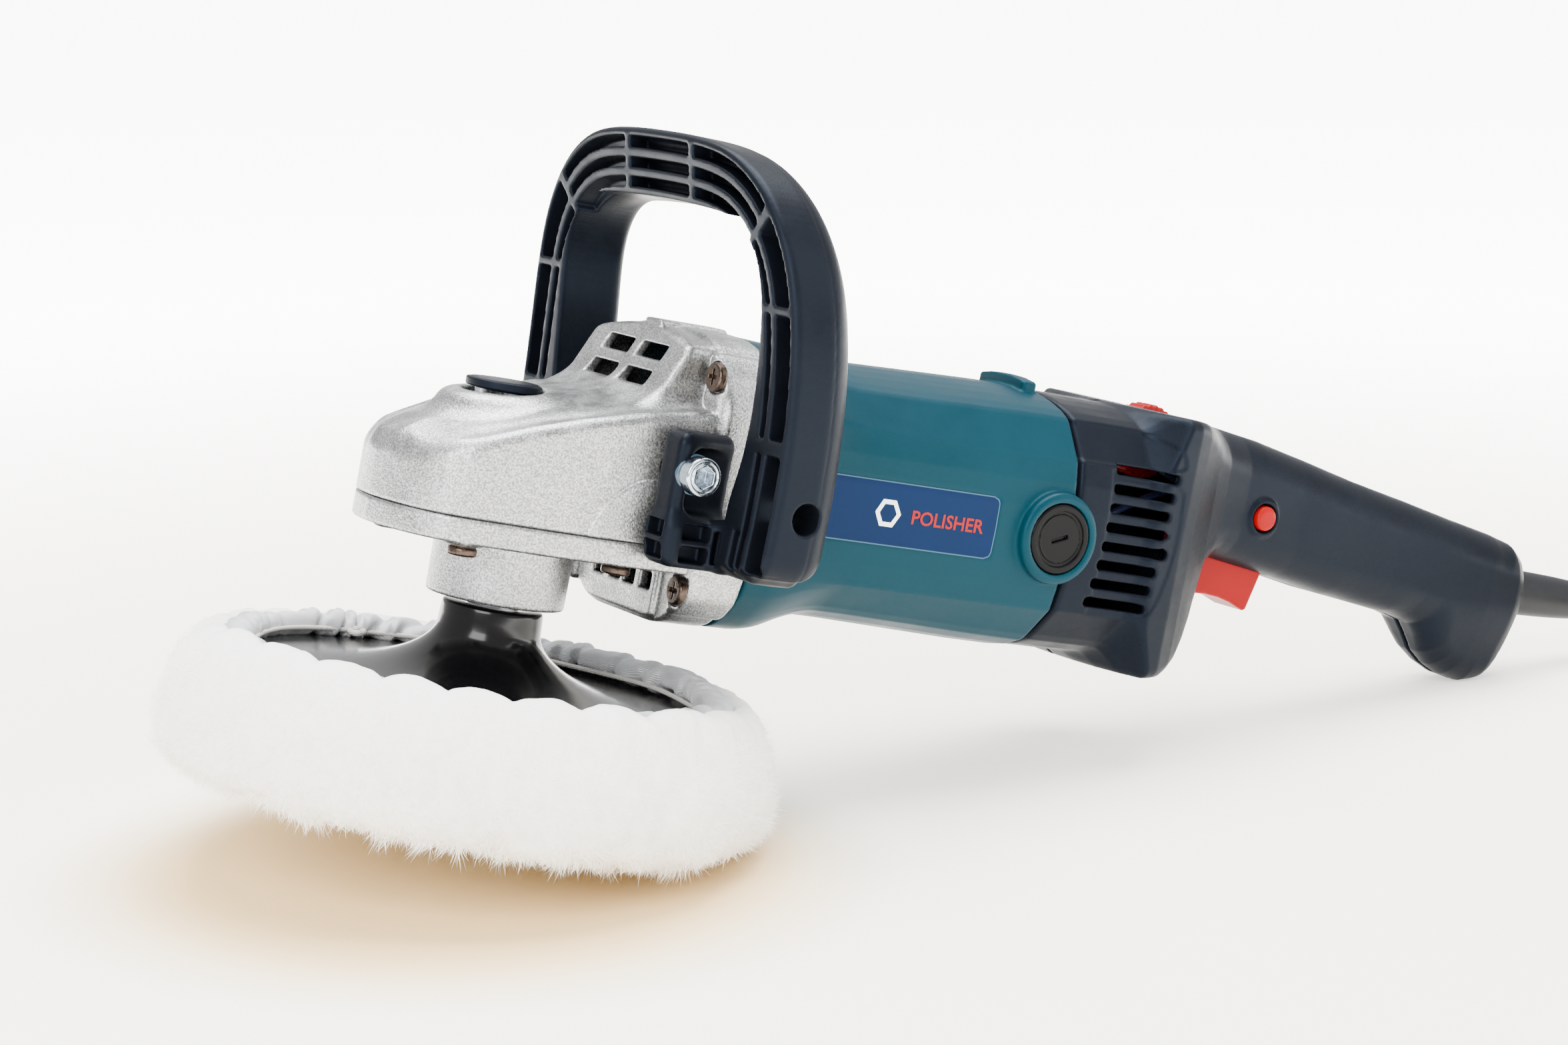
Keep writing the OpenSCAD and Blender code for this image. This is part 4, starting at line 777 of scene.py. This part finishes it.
def rear_handle(side):
    """side -1 is the left half (with the lock-on button), +1 the right half."""
    v = 0.74
    g = Grid((JX - 1.5, 0, -47), (429, 47, 48), v)
    X, Y, Z = g.X, g.Y, g.Z
    sd = poly(X, Z, H_SIDE)
    pl = poly(X, Y, H_PLAN + [(x, -y) for x, y in reversed(H_PLAN[1:-1])])
    pl = pl + 7.0 * sst((-Z - 3) / 31) * sst((X - 356) / 12)
    r = (4.0 + 9.0 * sst((X - 232) / 30) * (1 - 0.45 * sst((-Z - 8) / 14) * sst((X - 360) / 15)) * (1 - 0.25 * sst((X - 404) / 14))).astype(F)
    D = imax(sd, pl, r)
    sec = sec_sdf(Y, Z - 0.3)
    sec = sec - 40 * sst((X - 214) / 30) + 0.1
    D = imax(D, sec, 2.2)
    D = imax(D, -(X - JX - 0.35), 0.8)
    # soft recessed panel with a round corner above the slots, and the slot panel
    pan = poly(X, Z, chaikin([(180, 25.9), (180, 38.3), (209, 38.6), (219, 38.0), (226, 33.5), (227.5, 25.9)], 2, keep=(0, 1)))
    D = D + 0.55 * sst(-pan / 1.1) * (Y > 12)
    pan2 = poly(X, Z, chaikin([(196, 25.9), (227.5, 25.9), (229.5, 5), (227, -12), (221, -24.5), (196, -24.5)], 1, keep=(0, 5)))
    D = D + 0.35 * sst(-pan2 / 0.9) * (Y > 20) * sst((X - 198) / 1.0)
    if side < 0:
        col = cyl(X, Z, Y, (281.4, 15.1), 6.9, 15, 23.6, 1.0)
        D = imin(D, col, 0.8)
    # hollow inside, open at the front
    sd2 = imax(sd, pl, np.maximum(r - 3, 1.0)) + 3.0
    ins = np.maximum(sd2, sec_sdf(Y, Z - 0.3) - 40 * sst((X - 214) / 30) + 3.0)
    # posts keep the halves' screw places
    for px, pz in ((260, 33), (322, -1), (322, 24), (398, 12), (398, -24)):
        ins = np.maximum(ins, -(np.sqrt((X - px) ** 2 + (Z - pz) ** 2) - 4.8))
    D = cut(D, ins, 0.2)
    # a lip behind the joint with the motor housing, and a web on the middle plane behind the slots
    ss = sec_sdf(Y, Z - 0.3)
    lip = np.maximum(np.maximum(ss + 2.6, -(ss + 4.6)), np.abs(X - JX - 1.5) - 2.6)
    D = np.minimum(D, lip)
    D = np.minimum(D, np.maximum(np.maximum(Y - 1.6, np.abs(X - 216) - 16), np.maximum(Z - 19.5, -Z - 40)))
    for k in range(8):
        z = 24.9 - 6.4 * k
        x0 = 200.5 - 0.6 * k
        sl = box(X, Y * 0 + 40, Z - (X - 212) * -0.01, (x0, 30, z - 1.55), (x0 + 24, 50, z + 1.55), 1.3)
        D = cut(D, np.maximum(sl, 26 - Y), 0.5)
        # the rear end of each slot runs out into a scoop
        sc = np.sqrt(((X - (x0 + 24.5)) / 3.2) ** 2 + ((Z - z) / 2.3) ** 2 + ((Y - np.interp(z, [-20, 0, 25], [37.5, 41.5, 36.5])) / 2.6) ** 2) - 1
        D = cut(D, sc * 2.2, 0.6)
    D = cut(D, cyl(X, Z, Y, (177.6, 0), 15.6, 20, 60), 0.4)
    D = cut(D, box(X, Y, Z, (262.8, -9.6, -30), (299.2, 9.6, 8), 0.5), 0.6)
    D = cut(D, box(X, Y, Z, (229, -5.2, 38), (249, 5.2, 60), 0.6), 0.6)
    D = cut(D, cyl(Y, Z, X, (0, 0), 8.7, 414, 432), 0.8)
    if side < 0:
        D = cut(D, cyl(X, Z, Y, (281.4, 15.1), 5.0, 12, 30), 0.5)
    else:
        for px, pz in ((260, 33), (322, -1), (322, 24), (398, 12), (398, -24)):
            D = cut(D, cyl(X, Z, Y, (px, pz), 3.35, 13.4, 40), 0.5)
    D = imax(D, 0.09 - Y, 0.35)
    g.sym = False
    p, q, N = g.surface(D)
    if side < 0:
        p = p * np.array([1, -1, 1])
        N = N * np.array([1, -1, 1])
    a, b, c = p[q[:, 0]], p[q[:, 1]], p[q[:, 2]]
    if np.einsum("ij,ij->i", np.cross(b - a, c - a), N[q[:, 0]]).sum() < 0:
        q = q[:, ::-1]
    nm = "handle_shell_left" if side < 0 else "handle_shell_right"
    o = set_mesh(nm, row(p), np.ascontiguousarray(q), rowdir(N))
    return done(o, "nylon_handle", BODY, "black_nylon", "rear_handle_left" if side < 0 else "rear_handle_right")


def trigger():
    v = 0.4
    g = Grid((260, 0, -23), (303, 10.5, 9), v)
    X, Y, Z = g.X, g.Y, g.Z
    sd = poly(X, Z, [(265.5, 6.6), (272, 6.6), (283, 4.4), (294.6, -0.2), (297.4, -5.2), (293.6, -18.9), (292.6, -19.5), (290.0, -18.6), (286, -17.2), (280.5, -16.0), (274, -15.4), (268, -15.6), (262.9, -15.2), (262.9, -8), (264, 2)])
    D = imax(sd, Y - 9.0, 1.6)
    D = cut(D, np.maximum(poly(X, Z, [(267, 10), (272, -2), (281, -6), (292.8, -8.0), (294.6, 10)]), Y - 6.3), 0.4)
    D = np.maximum(D, -(np.sqrt((X - 269) ** 2 + (Z - 3.5) ** 2) - 1.6))
    o = from_field("trigger_moulding", g, D)
    return done(o, "red", "trigger_lever", "red_plastic", "trigger")


def lock_on():
    o = lathe("lock_on_cap", rnd([(0, -9.5), (2, -9.5), (2, -18), (4.4, -18), (4.4, -23.6), (3.9, -24.5), (2.2, -24.8), (0, -24.8)], 1), axis="y", at=(281.4, 0, 15.1), n=64)
    return done(o, "red", "lock_on", "red_plastic", "lock_on_button")


def dial():
    v = 0.3
    g = Grid((225, 0, 20), (253, 5.5, 49), v)
    X, Y, Z = g.X, g.Y, g.Z
    x, z = X - 239, Z - 34.2
    R = np.sqrt(x * x + z * z)
    A = np.arctan2(z, x)
    D = imax(R - (12.6 + 0.28 * np.cos(A * 30)), Y - 4.2, 0.8)
    D = np.maximum(D, -(R - 2.52))
    o = from_field("dial_wheel", g, D)
    return done(o, "red", "speed_wheel", "red_plastic", "speed_dial")


def lock_button():
    v = 0.35
    g = Grid((-23.5, 0, 16), (3.5, 13, 23), v)
    X, Y, Z = g.X, g.Y, g.Z
    R = np.sqrt((X + 10) ** 2 + Y * Y)
    D = imax(R - 11.95, abs(Z - 19.4) - 1.35, 0.5)
    D = imax(np.minimum(D, imax(R - 11.2, abs(Z - 19.6) - 1.9, 1.3)), (Z - 21.1 - (X + 10) * 0.03), 0.5)
    o = from_field("lock_button_cap", g, D)
    return done(o, "nylon", "spindle_lock", "black_nylon", "spindle_lock_button")


# ---------------------------------------------------------------- pad, bonnet
def pad():
    o = lathe("pad_moulding", [(8.3, -49.6), (8.3, -48.7), (9, -48.6), (14.9, -48.6), (15.6, -48.8), (15.9, -49.4), (16.0, -50.2), (16.15, -53), (16.3, -56.0), (16.6, -57.4), (17.2, -58.8), (18.2, -60.3), (19.7, -61.9), (21.5, -63.4), (24, -65.1), (27, -66.7), (31, -68.4), (36, -69.9), (41, -71), (46, -71.9), (52, -72.7), (60, -73.4), (70, -74), (80, -74.4), (86.2, -75.2), (87.6, -76.2), (88, -77.4), (88, -84), (87.2, -85.6), (86, -86), (0, -86)], n=160)
    return done(o, "pad_black", "spindle_assembly", "black_gloss", "backing_pad")


def vnoise(P, seed, octaves=3, scale=1.0):
    """Smooth value noise on points, in mm."""
    rng = np.random.default_rng(seed)
    tab = rng.random((32, 32, 32)).astype(F)
    out = 0
    amp, tot = 1.0, 0.0
    P = np.asarray(P, float) / scale
    for _ in range(octaves):
        i = np.floor(P).astype(int)
        f = P - i
        f = f * f * (3 - 2 * f)
        r = 0
        for a in (0, 1):
            for b in (0, 1):
                for c in (0, 1):
                    w = (f[:, 0] if a else 1 - f[:, 0]) * (f[:, 1] if b else 1 - f[:, 1]) * (f[:, 2] if c else 1 - f[:, 2])
                    r = r + w * tab[(i[:, 0] + a) % 32, (i[:, 1] + b) % 32, (i[:, 2] + c) % 32]
        out = out + amp * (r - 0.5) * 2
        tot += amp
        amp *= 0.5
        P = P * 2.03 + 17.1
    return out / tot


def wool():
    prof = [(0, -86.3), (40, -86.3), (80, -86.3), (87.3, -86.0), (88.4, -84.2), (88.4, -77.4), (87.0, -75.4), (83.5, -74.6), (80.6, -73.4), (79.4, -71.4), (79.6, -69.0), (82.0, -67.3), (85.4, -68.0), (88.6, -70.8), (91.4, -75.0), (93.6, -80.0), (95.2, -86.0), (96.2, -92.0), (96.6, -98.0), (95.6, -103.0), (92.4, -107.0), (86.5, -109.4), (76, -110.2), (60, -110.4), (40, -110.4), (20, -110.4), (0, -110.4)]
    pr = np.array(rnd(prof, 2))
    # even spacing along the profile
    s = np.concatenate([[0], np.cumsum(np.hypot(*np.diff(pr, axis=0).T))])
    m = 150
    t = np.linspace(0, s[-1], m)
    pr = np.stack([np.interp(t, s, pr[:, 0]), np.interp(t, s, pr[:, 1])], 1)
    pr[0, 0] = pr[-1, 0] = 0
    n = 420
    th = np.arange(n) * 2 * math.pi / n
    R, TH = np.meshgrid(pr[:, 0], th, indexing="ij")
    Zz = np.repeat(pr[:, 1][:, None], n, 1)
    P = np.stack([R * np.cos(TH), R * np.sin(TH), Zz], -1).reshape(-1, 3)
    d = np.gradient(pr, axis=0)
    nr = np.stack([d[:, 1], -d[:, 0]], 1)
    nr /= np.maximum(np.linalg.norm(nr, axis=1), 1e-9)[:, None]
    nr *= -1
    # outside of the pile only (inner faces stay put)
    ti = np.linspace(0, 1, m)
    outer = np.clip((ti - 0.42) / 0.05, 0, 1)
    NR = np.repeat(nr[:, None, :], n, 1)
    N = np.stack([NR[..., 0] * np.cos(TH), NR[..., 0] * np.sin(TH), NR[..., 1]], -1).reshape(-1, 3)
    w = np.repeat(outer[:, None], n, 1).reshape(-1)
    lump = 2.2 * vnoise(P, 11, 3, 18.0) + 1.2 * vnoise(P, 12, 2, 5.5)
    P = P + N * (lump * w)[:, None]
    # scallops of the gathered top rim
    TH1 = TH.reshape(-1)
    rim = np.exp(-((P[:, 2] + 68.0) / 4.5) ** 2) * (R.reshape(-1) > 76)
    sc = np.abs(np.sin(TH1 * 11.5 + 0.7 * np.sin(TH1 * 3))) ** 0.7
    near = sst(-(P[:, 0] * 0.544 + P[:, 1] * 0.835) / 60)
    P[:, 2] += rim * (1.9 * near + (2.3 * sc - 0.4) * (0.3 + 0.9 * near) + 0.6 * vnoise(P, 5, 2, 9.0)) + 0.6 * rim * (P[:, 0] * 1.6 - P[:, 1] * 0.8) / 80
    rr = np.hypot(P[:, 0], P[:, 1])
    P[:, :2] *= (1 + rim * (0.010 - 0.018 * sc))[:, None]
    W = row(P)
    # flattened where it stands
    W[:, 2] = np.where(W[:, 2] < 0.0004, 0.0004 - 0.0003 * np.tanh((0.0004 - W[:, 2]) / 0.003), W[:, 2])
    idx = np.arange(m * n).reshape(m, n)
    a, b = idx[:-1], idx[1:]
    Fq = np.stack([a, np.roll(a, -1, 1), np.roll(b, -1, 1), b], -1).reshape(-1, 4)
    o = set_mesh("bonnet_pile", W, Fq)
    import bmesh
    bm = bmesh.new()
    bm.from_mesh(o.data)
    bmesh.ops.remove_doubles(bm, verts=bm.verts, dist=1e-6)
    bmesh.ops.recalc_face_normals(bm, faces=bm.faces)
    bm.to_mesh(o.data)
    bm.free()
    o.data.shade_smooth()
    done(o, "wool", "spindle_assembly", "wool", "wool_bonnet")
    # fibres that stand off the pile
    rng = np.random.default_rng(3)
    K = 90000
    area = np.repeat((pr[:, 0] * np.concatenate([[0], np.diff(t)]))[:, None], n, 1).reshape(-1) * w
    low = np.clip((-P[:, 2] - 66) / 20, 0.15, 1)
    pw = area * (0.25 + low) * (P[:, 2] < -71)
    pick = rng.choice(len(P), K, p=pw / pw.sum())
    base = P[pick] + rng.normal(0, 0.5, (K, 3))
    nn = N[pick]
    down = np.array([0, 0, -1.0])
    dirn = nn + rng.normal(0, 0.55, (K, 3)) + down * rng.uniform(-0.1, 0.5, (K, 1))
    dirn /= np.linalg.norm(dirn, axis=1)[:, None]
    # tufts: neighbours lean the same way and share a length
    tuft = np.stack([vnoise(base, 21 + i, 2, 5.5) for i in range(3)], 1)
    dirn = dirn + 1.3 * tuft
    dirn /= np.linalg.norm(dirn, axis=1)[:, None]
    bend = rng.normal(0, 0.35, (K, 3)) + 1.2 * tuft
    deep = sst((-base[:, 2] - 84) / 16)
    ln = ((1.0 + 1.9 * rng.random(K)) * (1 + 1.0 * deep * np.clip(0.5 + 1.6 * vnoise(base, 31, 2, 7.0), 0, 1.4)))[:, None]
    # pressed short where the pile stands on the ground
    ln *= (0.35 + 0.65 * sst((row(base)[:, 2] - 0.001) / 0.014))[:, None]
    sidev = np.cross(dirn, rng.normal(0, 1, (K, 3)))
    sidev /= np.linalg.norm(sidev, axis=1)[:, None]
    wd = rng.uniform(0.06, 0.12, K)[:, None]
    b0 = base - dirn * 1.2
    b1 = base + dirn * ln * 0.5 + bend * ln * 0.12
    b2 = base + dirn * ln + bend * ln * 0.42
    pts = np.stack([b0 - sidev * wd, b0 + sidev * wd, b1 - sidev * wd * 0.7, b1 + sidev * wd * 0.7, b2], 1)
    pts = pts.reshape(-1, 3)
    Wp = row(pts)
    Wp[:, 2] = np.maximum(Wp[:, 2], 0.0003)
    base_i = np.arange(K) * 5
    quads = np.stack([base_i, base_i + 1, base_i + 3, base_i + 2], 1)
    tris = np.stack([base_i + 2, base_i + 3, base_i + 4], 1)
    faces = [tuple(q) for q in quads] + [tuple(q) for q in tris]
    f = set_mesh("bonnet_fibres", Wp, faces)
    done(f, "wool_fibre", "spindle_assembly", "wool")
    return o


def hem():
    n, m = ((720, 28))
    th = np.arange(n) * 2 * math.pi / n
    ph = np.arange(m) * 2 * math.pi / m
    TH, PH = np.meshgrid(th, ph, indexing="ij")
    rng = np.random.default_rng(8)
    # uneven pleats that run slantwise over the roll
    warp = TH + 0.05 * np.sin(7 * TH + 1) + 0.035 * np.sin(13 * TH + 2.2) + 0.02 * np.sin(29 * TH)
    fold = np.sin(44 * warp + 1.5 * np.cos(PH) + 1.2 * np.sin(PH))
    fold = fold + 0.35 * np.sin(2 * (44 * warp + 1.5 * np.cos(PH) + 1.2 * np.sin(PH)) + 0.9)
    fine = np.sin(97 * warp + 2.0 * np.cos(PH + 0.6))
    amp = 0.7 + 0.3 * np.sin(5 * TH + 0.4) + 0.2 * np.sin(11 * TH)
    rad = 4.6 * (1 + 0.24 * amp * fold + 0.04 * fine)
    high = 3.9 * (1 + 0.27 * amp * fold + 0.04 * fine)
    Rm = 75.6 + 0.6 * np.sin(3 * TH + 0.3) + 0.6 * np.sin(9 * TH + 1.0)
    zz = -69.9 + 0.4 * np.sin(4 * TH) + 0.5 * np.sin(10 * TH + 2) + 1.5 * np.cos(TH) - 0.7 * np.sin(TH)
    cph, sph = np.cos(PH), np.sin(PH)
    r = Rm + rad * np.sign(cph) * np.abs(cph) ** 0.85
    z = zz + high * np.sign(sph) * np.abs(sph) ** 0.85
    z = z - 1.6 * sst(-(np.cos(TH) * 0.544 + np.sin(TH) * 0.835) * 1.4)
    z = np.maximum(np.minimum(z, -60.4), -74.3)
    P = np.stack([r * np.cos(TH), r * np.sin(TH), z], -1).reshape(-1, 3)
    idx = np.arange(n * m).reshape(n, m)
    a, b = idx, np.roll(idx, -1, 0)
    Fq = np.stack([a, b, np.roll(b, -1, 1), np.roll(a, -1, 1)], -1).reshape(-1, 4)
    o = set_mesh("bonnet_casing", row(P), Fq)
    done(o, "hem", "spindle_assembly", "hem_fabric", "bonnet_hem")
    # drawstring inside the rim, with its knot
    k = 240
    t = np.linspace(0, 2 * math.pi, k, endpoint=False)
    path = np.stack([(70.6 + 0.35 * np.sin(9 * t)) * np.cos(t), (70.6 + 0.35 * np.sin(9 * t)) * np.sin(t), -71.6 + 0.25 * np.sin(7 * t)], 1)
    s = tube_mesh("drawstring_loop", row(path), 0.0008, closed=True)
    a0 = math.radians(100)
    c0 = np.array([69.2 * math.cos(a0), 69.2 * math.sin(a0), -71.4])
    tt = np.linspace(0, 2.6 * math.pi, 46)
    kn = c0 + np.stack([1.7 * np.sin(tt), 3.6 * np.sin(tt * 0.5) - 1.0, 0.7 * np.cos(tt * 1.5)], 1)
    kn2 = tube_mesh("k", row(kn), 0.0010)
    s = join("drawstring_loop", [s, kn2])
    done(s, "string", "spindle_assembly", "string", "drawstring")
    return o


def tube_mesh(name, path, r, closed=False, n=10):
    path = np.asarray(path)
    m = len(path)
    if closed:
        d = np.roll(path, -1, 0) - np.roll(path, 1, 0)
    else:
        d = np.gradient(path, axis=0)
    d /= np.linalg.norm(d, axis=1)[:, None]
    up = np.array([0.02, 0.03, 1.0])
    u = np.cross(d, up)
    u /= np.linalg.norm(u, axis=1)[:, None]
    w = np.cross(d, u)
    k = np.arange(n) * 2 * math.pi / n
    P = path[:, None, :] + r * (np.cos(k)[None, :, None] * u[:, None, :] + np.sin(k)[None, :, None] * w[:, None, :])
    idx = np.arange(m * n).reshape(m, n)
    a = idx if closed else idx[:-1]
    b = np.roll(idx, -1, 0) if closed else idx[1:]
    Fq = np.stack([a, np.roll(a, -1, 1), np.roll(b, -1, 1), b], -1).reshape(-1, 4)
    faces = [tuple(f) for f in Fq]
    if not closed:
        faces += [tuple(idx[0][::-1]), tuple(idx[-1])]
    return set_mesh(name, P.reshape(-1, 3), faces)


# ---------------------------------------------------------------- cord, guard, plug
def guard():
    prof = [(4.0, 408), (7.8, 408), (8.0, 408.3), (8.0, 411.3), (11.5, 411.3), (11.5, 416.7), (8.5, 416.7), (8.5, 427), (8.3, 436), (8.0, 446), (7.5, 455), (6.8, 463), (6.1, 471), (5.7, 477), (5.3, 479.4), (4.9, 480), (4.0, 480)]
    o = lathe("cord_guard_sleeve", prof, axis="x", n=64)
    return done(o, "rubber", BODY, "rubber_black", "cord_guard")


def cord_and_plug():
    ex = row((480, 0, 0)) * 1000
    cx, cy = 390.0, -56.0
    pitch, rad = 8.1, 3.9
    r1 = 56.0
    r0 = r1 - 3 * pitch
    pts = [ex]
    d0 = rowdir(np.array([1.0, 0, 0]))
    # bends down to the floor level of the coil's top layer
    b = [ex, ex + 16 * d0, np.array([350, 0.0, 10.6]), np.array([372, 0.0, 12.0]), np.array([cx, 0.0, 12.0])]
    for i in range(1, 33):
        t = i / 32
        c = [p.copy() for p in b]
        while len(c) > 1:
            c = [(1 - t) * p + t * q for p, q in zip(c[:-1], c[1:])]
        pts.append(c[0])
    turns = 4.25
    N1 = 260
    tot = turns * 2 * math.pi
    for i in range(1, N1 + 1):
        t = i / N1
        A = math.pi / 2 - tot * t
        r = r1 - (r1 - r0) * t
        z = 12.0 - 8.0 * sst((t * turns - (turns - 0.3)) / 0.3)
        pts.append(np.array([cx + r * math.cos(A), cy + r * math.sin(A), z]))
    A0 = math.pi / 2 - tot
    for i in range(1, N1 + 1):
        t = i / N1
        A = A0 - tot * t
        r = r0 + (r1 - r0) * t
        pts.append(np.array([cx + r * math.cos(A), cy + r * math.sin(A), 4.0]))
    last = pts[-1]
    for x, z in ((384, 4.0), (378, 4.05), (372, 4.3), (366, 5.0), (360, 6.2), (354, 7.3), (349, 8.0), (344, 8.4), (339, 8.5), (330, 8.5)):
        pts.append(np.array([x, cy - r1, z]))
    P = np.array(pts) / 1000
    L = float(np.linalg.norm(np.diff(P, axis=0), axis=1).sum())
    cu = bpy.data.curves.new("mains_cord", "CURVE")
    cu.dimensions = "3D"
    sp = cu.splines.new("POLY")
    sp.points.add(len(P) - 1)
    for i, p in enumerate(P):
        sp.points[i].co = (*p, 1)
    cu.bevel_depth = rad / 1000
    cu.bevel_resolution = 4
    cu.use_fill_caps = True
    o = bpy.data.objects.new("mains_cord", cu)
    bpy.context.scene.collection.objects.link(o)
    o.data.materials.append(MATS["cord"])
    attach(o, BODY)
    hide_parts("power_cord", "cord_coil")
    # plug: flat body with a waist and a boot
    v = 0.45
    g = Grid((296, 0, -1), (356, 19, 18.5), v)
    X, Y, Z = g.X, g.Y, g.Z
    W = np.interp(X, [296, 300, 312, 322, 328, 331], [14.5, 16.2, 17.4, 15.0, 9.0, 7.0]).astype(F)
    D = imax(imax(Y - W, abs(Z - 8.6) - 8.3, 5.0), abs(X - 313.5) - 15.3, 2.5)
    Rb = np.sqrt(Y * Y + (Z - 8.5) ** 2)
    boot = imax(Rb - np.interp(X, [320, 328, 354], [7.6, 7.0, 5.3]).astype(F) + 0.35 * (np.cos(X * 1.9) > 0.2) * (X > 330), abs(X - 338) - 16, 0.8)
    D = imin(D, boot, 2.5)
    D = np.maximum(D, -np.maximum(Rb - 3.95, 344 - X))
    for yy in (9.5,):
        D = np.maximum(D, -np.maximum(np.sqrt((Y - yy) ** 2 + (Z - 8.5) ** 2) - 2.42, X - 311))
    p, q, N = g.surface(D)
    a, b_, c = p[q[:, 0]], p[q[:, 1]], p[q[:, 2]]
    if np.einsum("ij,ij->i", np.cross(b_ - a, c - a), N[q[:, 0]]).sum() < 0:
        q = q[:, ::-1]
    p = p + np.array([0, cy - r1, 0])
    pl = set_mesh("plug_moulding", p / 1000, np.ascontiguousarray(q), N)
    done(pl, "gloss_black", BODY, "plug_plastic", "mains_plug")
    return L


gear_case()
bearing_box()
screws()
loop_handle()
motor()
labels()
caps()
rear_handle(-1)
rear_handle(1)
trigger()
lock_on()
dial()
lock_button()
pad()
wool()
hem()
guard()
CORD_LENGTH = cord_and_plug()
# inner CAD nodes keep a fine bevel so that their edges catch light
for nd in ("spindle", "pad_insert", "cord_tie", "plug_pins", "loop_handle_spacers", "cord_clamp", "switch_body"):
    ob = frame["nodes"][nd]
    md = ob.modifiers.new("edge", "BEVEL")
    md.width = 0.0003
    md.segments = 2
    md.limit_method = "ANGLE"

# ---------------------------------------------------------------- stage
sc = bpy.context.scene


def floor():
    P = [(-6, -4, 0), (6, -4, 0), (6, 7, 0), (-6, 7, 0)]
    me = bpy.data.meshes.new("ground")
    me.from_pydata([(x, y, -0.0002) for x, y, _ in P], [], [(0, 1, 2, 3)])
    o = bpy.data.objects.new("ground", me)
    sc.collection.objects.link(o)
    m = bpy.data.materials.new("ground")
    m.use_nodes = True
    b = m.node_tree.nodes["Principled BSDF"]
    b.inputs["Base Color"].default_value = (0.97, 0.91, 0.77, 1)
    b.inputs["Roughness"].default_value = 0.75
    b.inputs["Specular IOR Level"].default_value = 0.15
    # the paper glows more the further it is from the tool
    nt = m.node_tree
    tc = nt.nodes.new("ShaderNodeTexCoord")
    ln = nt.nodes.new("ShaderNodeVectorMath")
    ln.operation = "LENGTH"
    nt.links.new(tc.outputs["Object"], ln.inputs[0])
    mr = nt.nodes.new("ShaderNodeMapRange")
    mr.interpolation_type = "SMOOTHSTEP"
    mr.inputs["From Min"].default_value = 0.25
    mr.inputs["From Max"].default_value = 1.3
    mr.inputs["To Min"].default_value = 0.85
    mr.inputs["To Max"].default_value = 9.0
    nt.links.new(ln.outputs["Value"], mr.inputs["Value"])
    b.inputs["Emission Color"].default_value = (1, 0.995, 0.98, 1)
    # and not at all under the bonnet, where the floor's base colour is also painted warm tan: a painted warm shadow
    # standing in for the warm bounced light there
    dist = nt.nodes.new("ShaderNodeVectorMath")
    dist.operation = "DISTANCE"
    dist.inputs[1].default_value = (-0.185, -0.02, 0)
    nt.links.new(tc.outputs["Object"], dist.inputs[0])
    # mask of the painted shadow: 0 under the bonnet, 1 outside it
    near = nt.nodes.new("ShaderNodeMapRange")
    near.interpolation_type = "SMOOTHSTEP"
    near.inputs["From Min"].default_value = 0.08
    near.inputs["From Max"].default_value = 0.145
    nt.links.new(dist.outputs["Value"], near.inputs["Value"])
    mul = nt.nodes.new("ShaderNodeMath")
    mul.operation = "MULTIPLY"
    nt.links.new(mr.outputs["Result"], mul.inputs[0])
    nt.links.new(near.outputs["Result"], mul.inputs[1])
    nt.links.new(mul.outputs[0], b.inputs["Emission Strength"])
    painted_shadow_mix = nt.nodes.new("ShaderNodeMix")
    painted_shadow_mix.data_type = "RGBA"
    # painted warm shadow colour under the bonnet, the plain floor colour outside it
    painted_shadow_mix.inputs[6].default_value = (0.92, 0.68, 0.37, 1)
    painted_shadow_mix.inputs[7].default_value = (0.97, 0.93, 0.84, 1)
    nt.links.new(near.outputs["Result"], painted_shadow_mix.inputs[0])
    nt.links.new(painted_shadow_mix.outputs[2], b.inputs["Base Color"])
    o.data.materials.append(m)


floor()


def light(name, loc, target, size, power, col=(1, 1, 1), size_y=None):
    L = bpy.data.lights.new(name, "AREA")
    L.shape = "RECTANGLE"
    L.size = size
    L.size_y = size_y or size
    L.energy = power
    L.color = col
    o = bpy.data.objects.new(name, L)
    o.location = loc
    o.rotation_mode = "QUATERNION"
    o.rotation_quaternion = (Vector(target) - Vector(loc)).to_track_quat("-Z", "Y")
    sc.collection.objects.link(o)
    return o


light("key", (-1.35, -1.15, 1.15), (-0.1, 0, 0.08), 1.1, 62, (1.0, 0.99, 0.97))
light("top", (0.15, 0.25, 1.7), (0, 0, 0.1), 1.6, 125, (0.98, 0.99, 1.0))
light("right", (1.1, -1.1, 0.9), (0.1, 0, 0.1), 0.9, 12, (0.97, 0.98, 1.0))
world = bpy.data.worlds.new("studio")
sc.world = world
world.use_nodes = True
bg = world.node_tree.nodes["Background"]
bg.inputs["Color"].default_value = (1.0, 1.0, 1.0, 1)
bg.inputs["Strength"].default_value = 1.2

cam = bpy.data.cameras.new("camera")
co = bpy.data.objects.new("camera", cam)
sc.collection.objects.link(co)
sc.camera = co
cam.sensor_width = 36.0
cam.lens = 5200 / 2352 * 36
fwd = rowdir(np.array([0.5440, 0.8354, -0.0787]))
dn = rowdir(np.array([0.1128, -0.1657, -0.9797]))
co.location = tuple(row((-514.3, -944.0, 77.9)))
fwd = Vector(fwd).normalized()
up = -Vector(dn)
up = (up - up.dot(fwd) * fwd).normalized()
right = fwd.cross(up)
from mathutils import Matrix
co.rotation_mode = "QUATERNION"
co.rotation_quaternion = Matrix((right, up, -fwd)).transposed().to_quaternion()
cam.clip_start, cam.clip_end = 0.05, 30
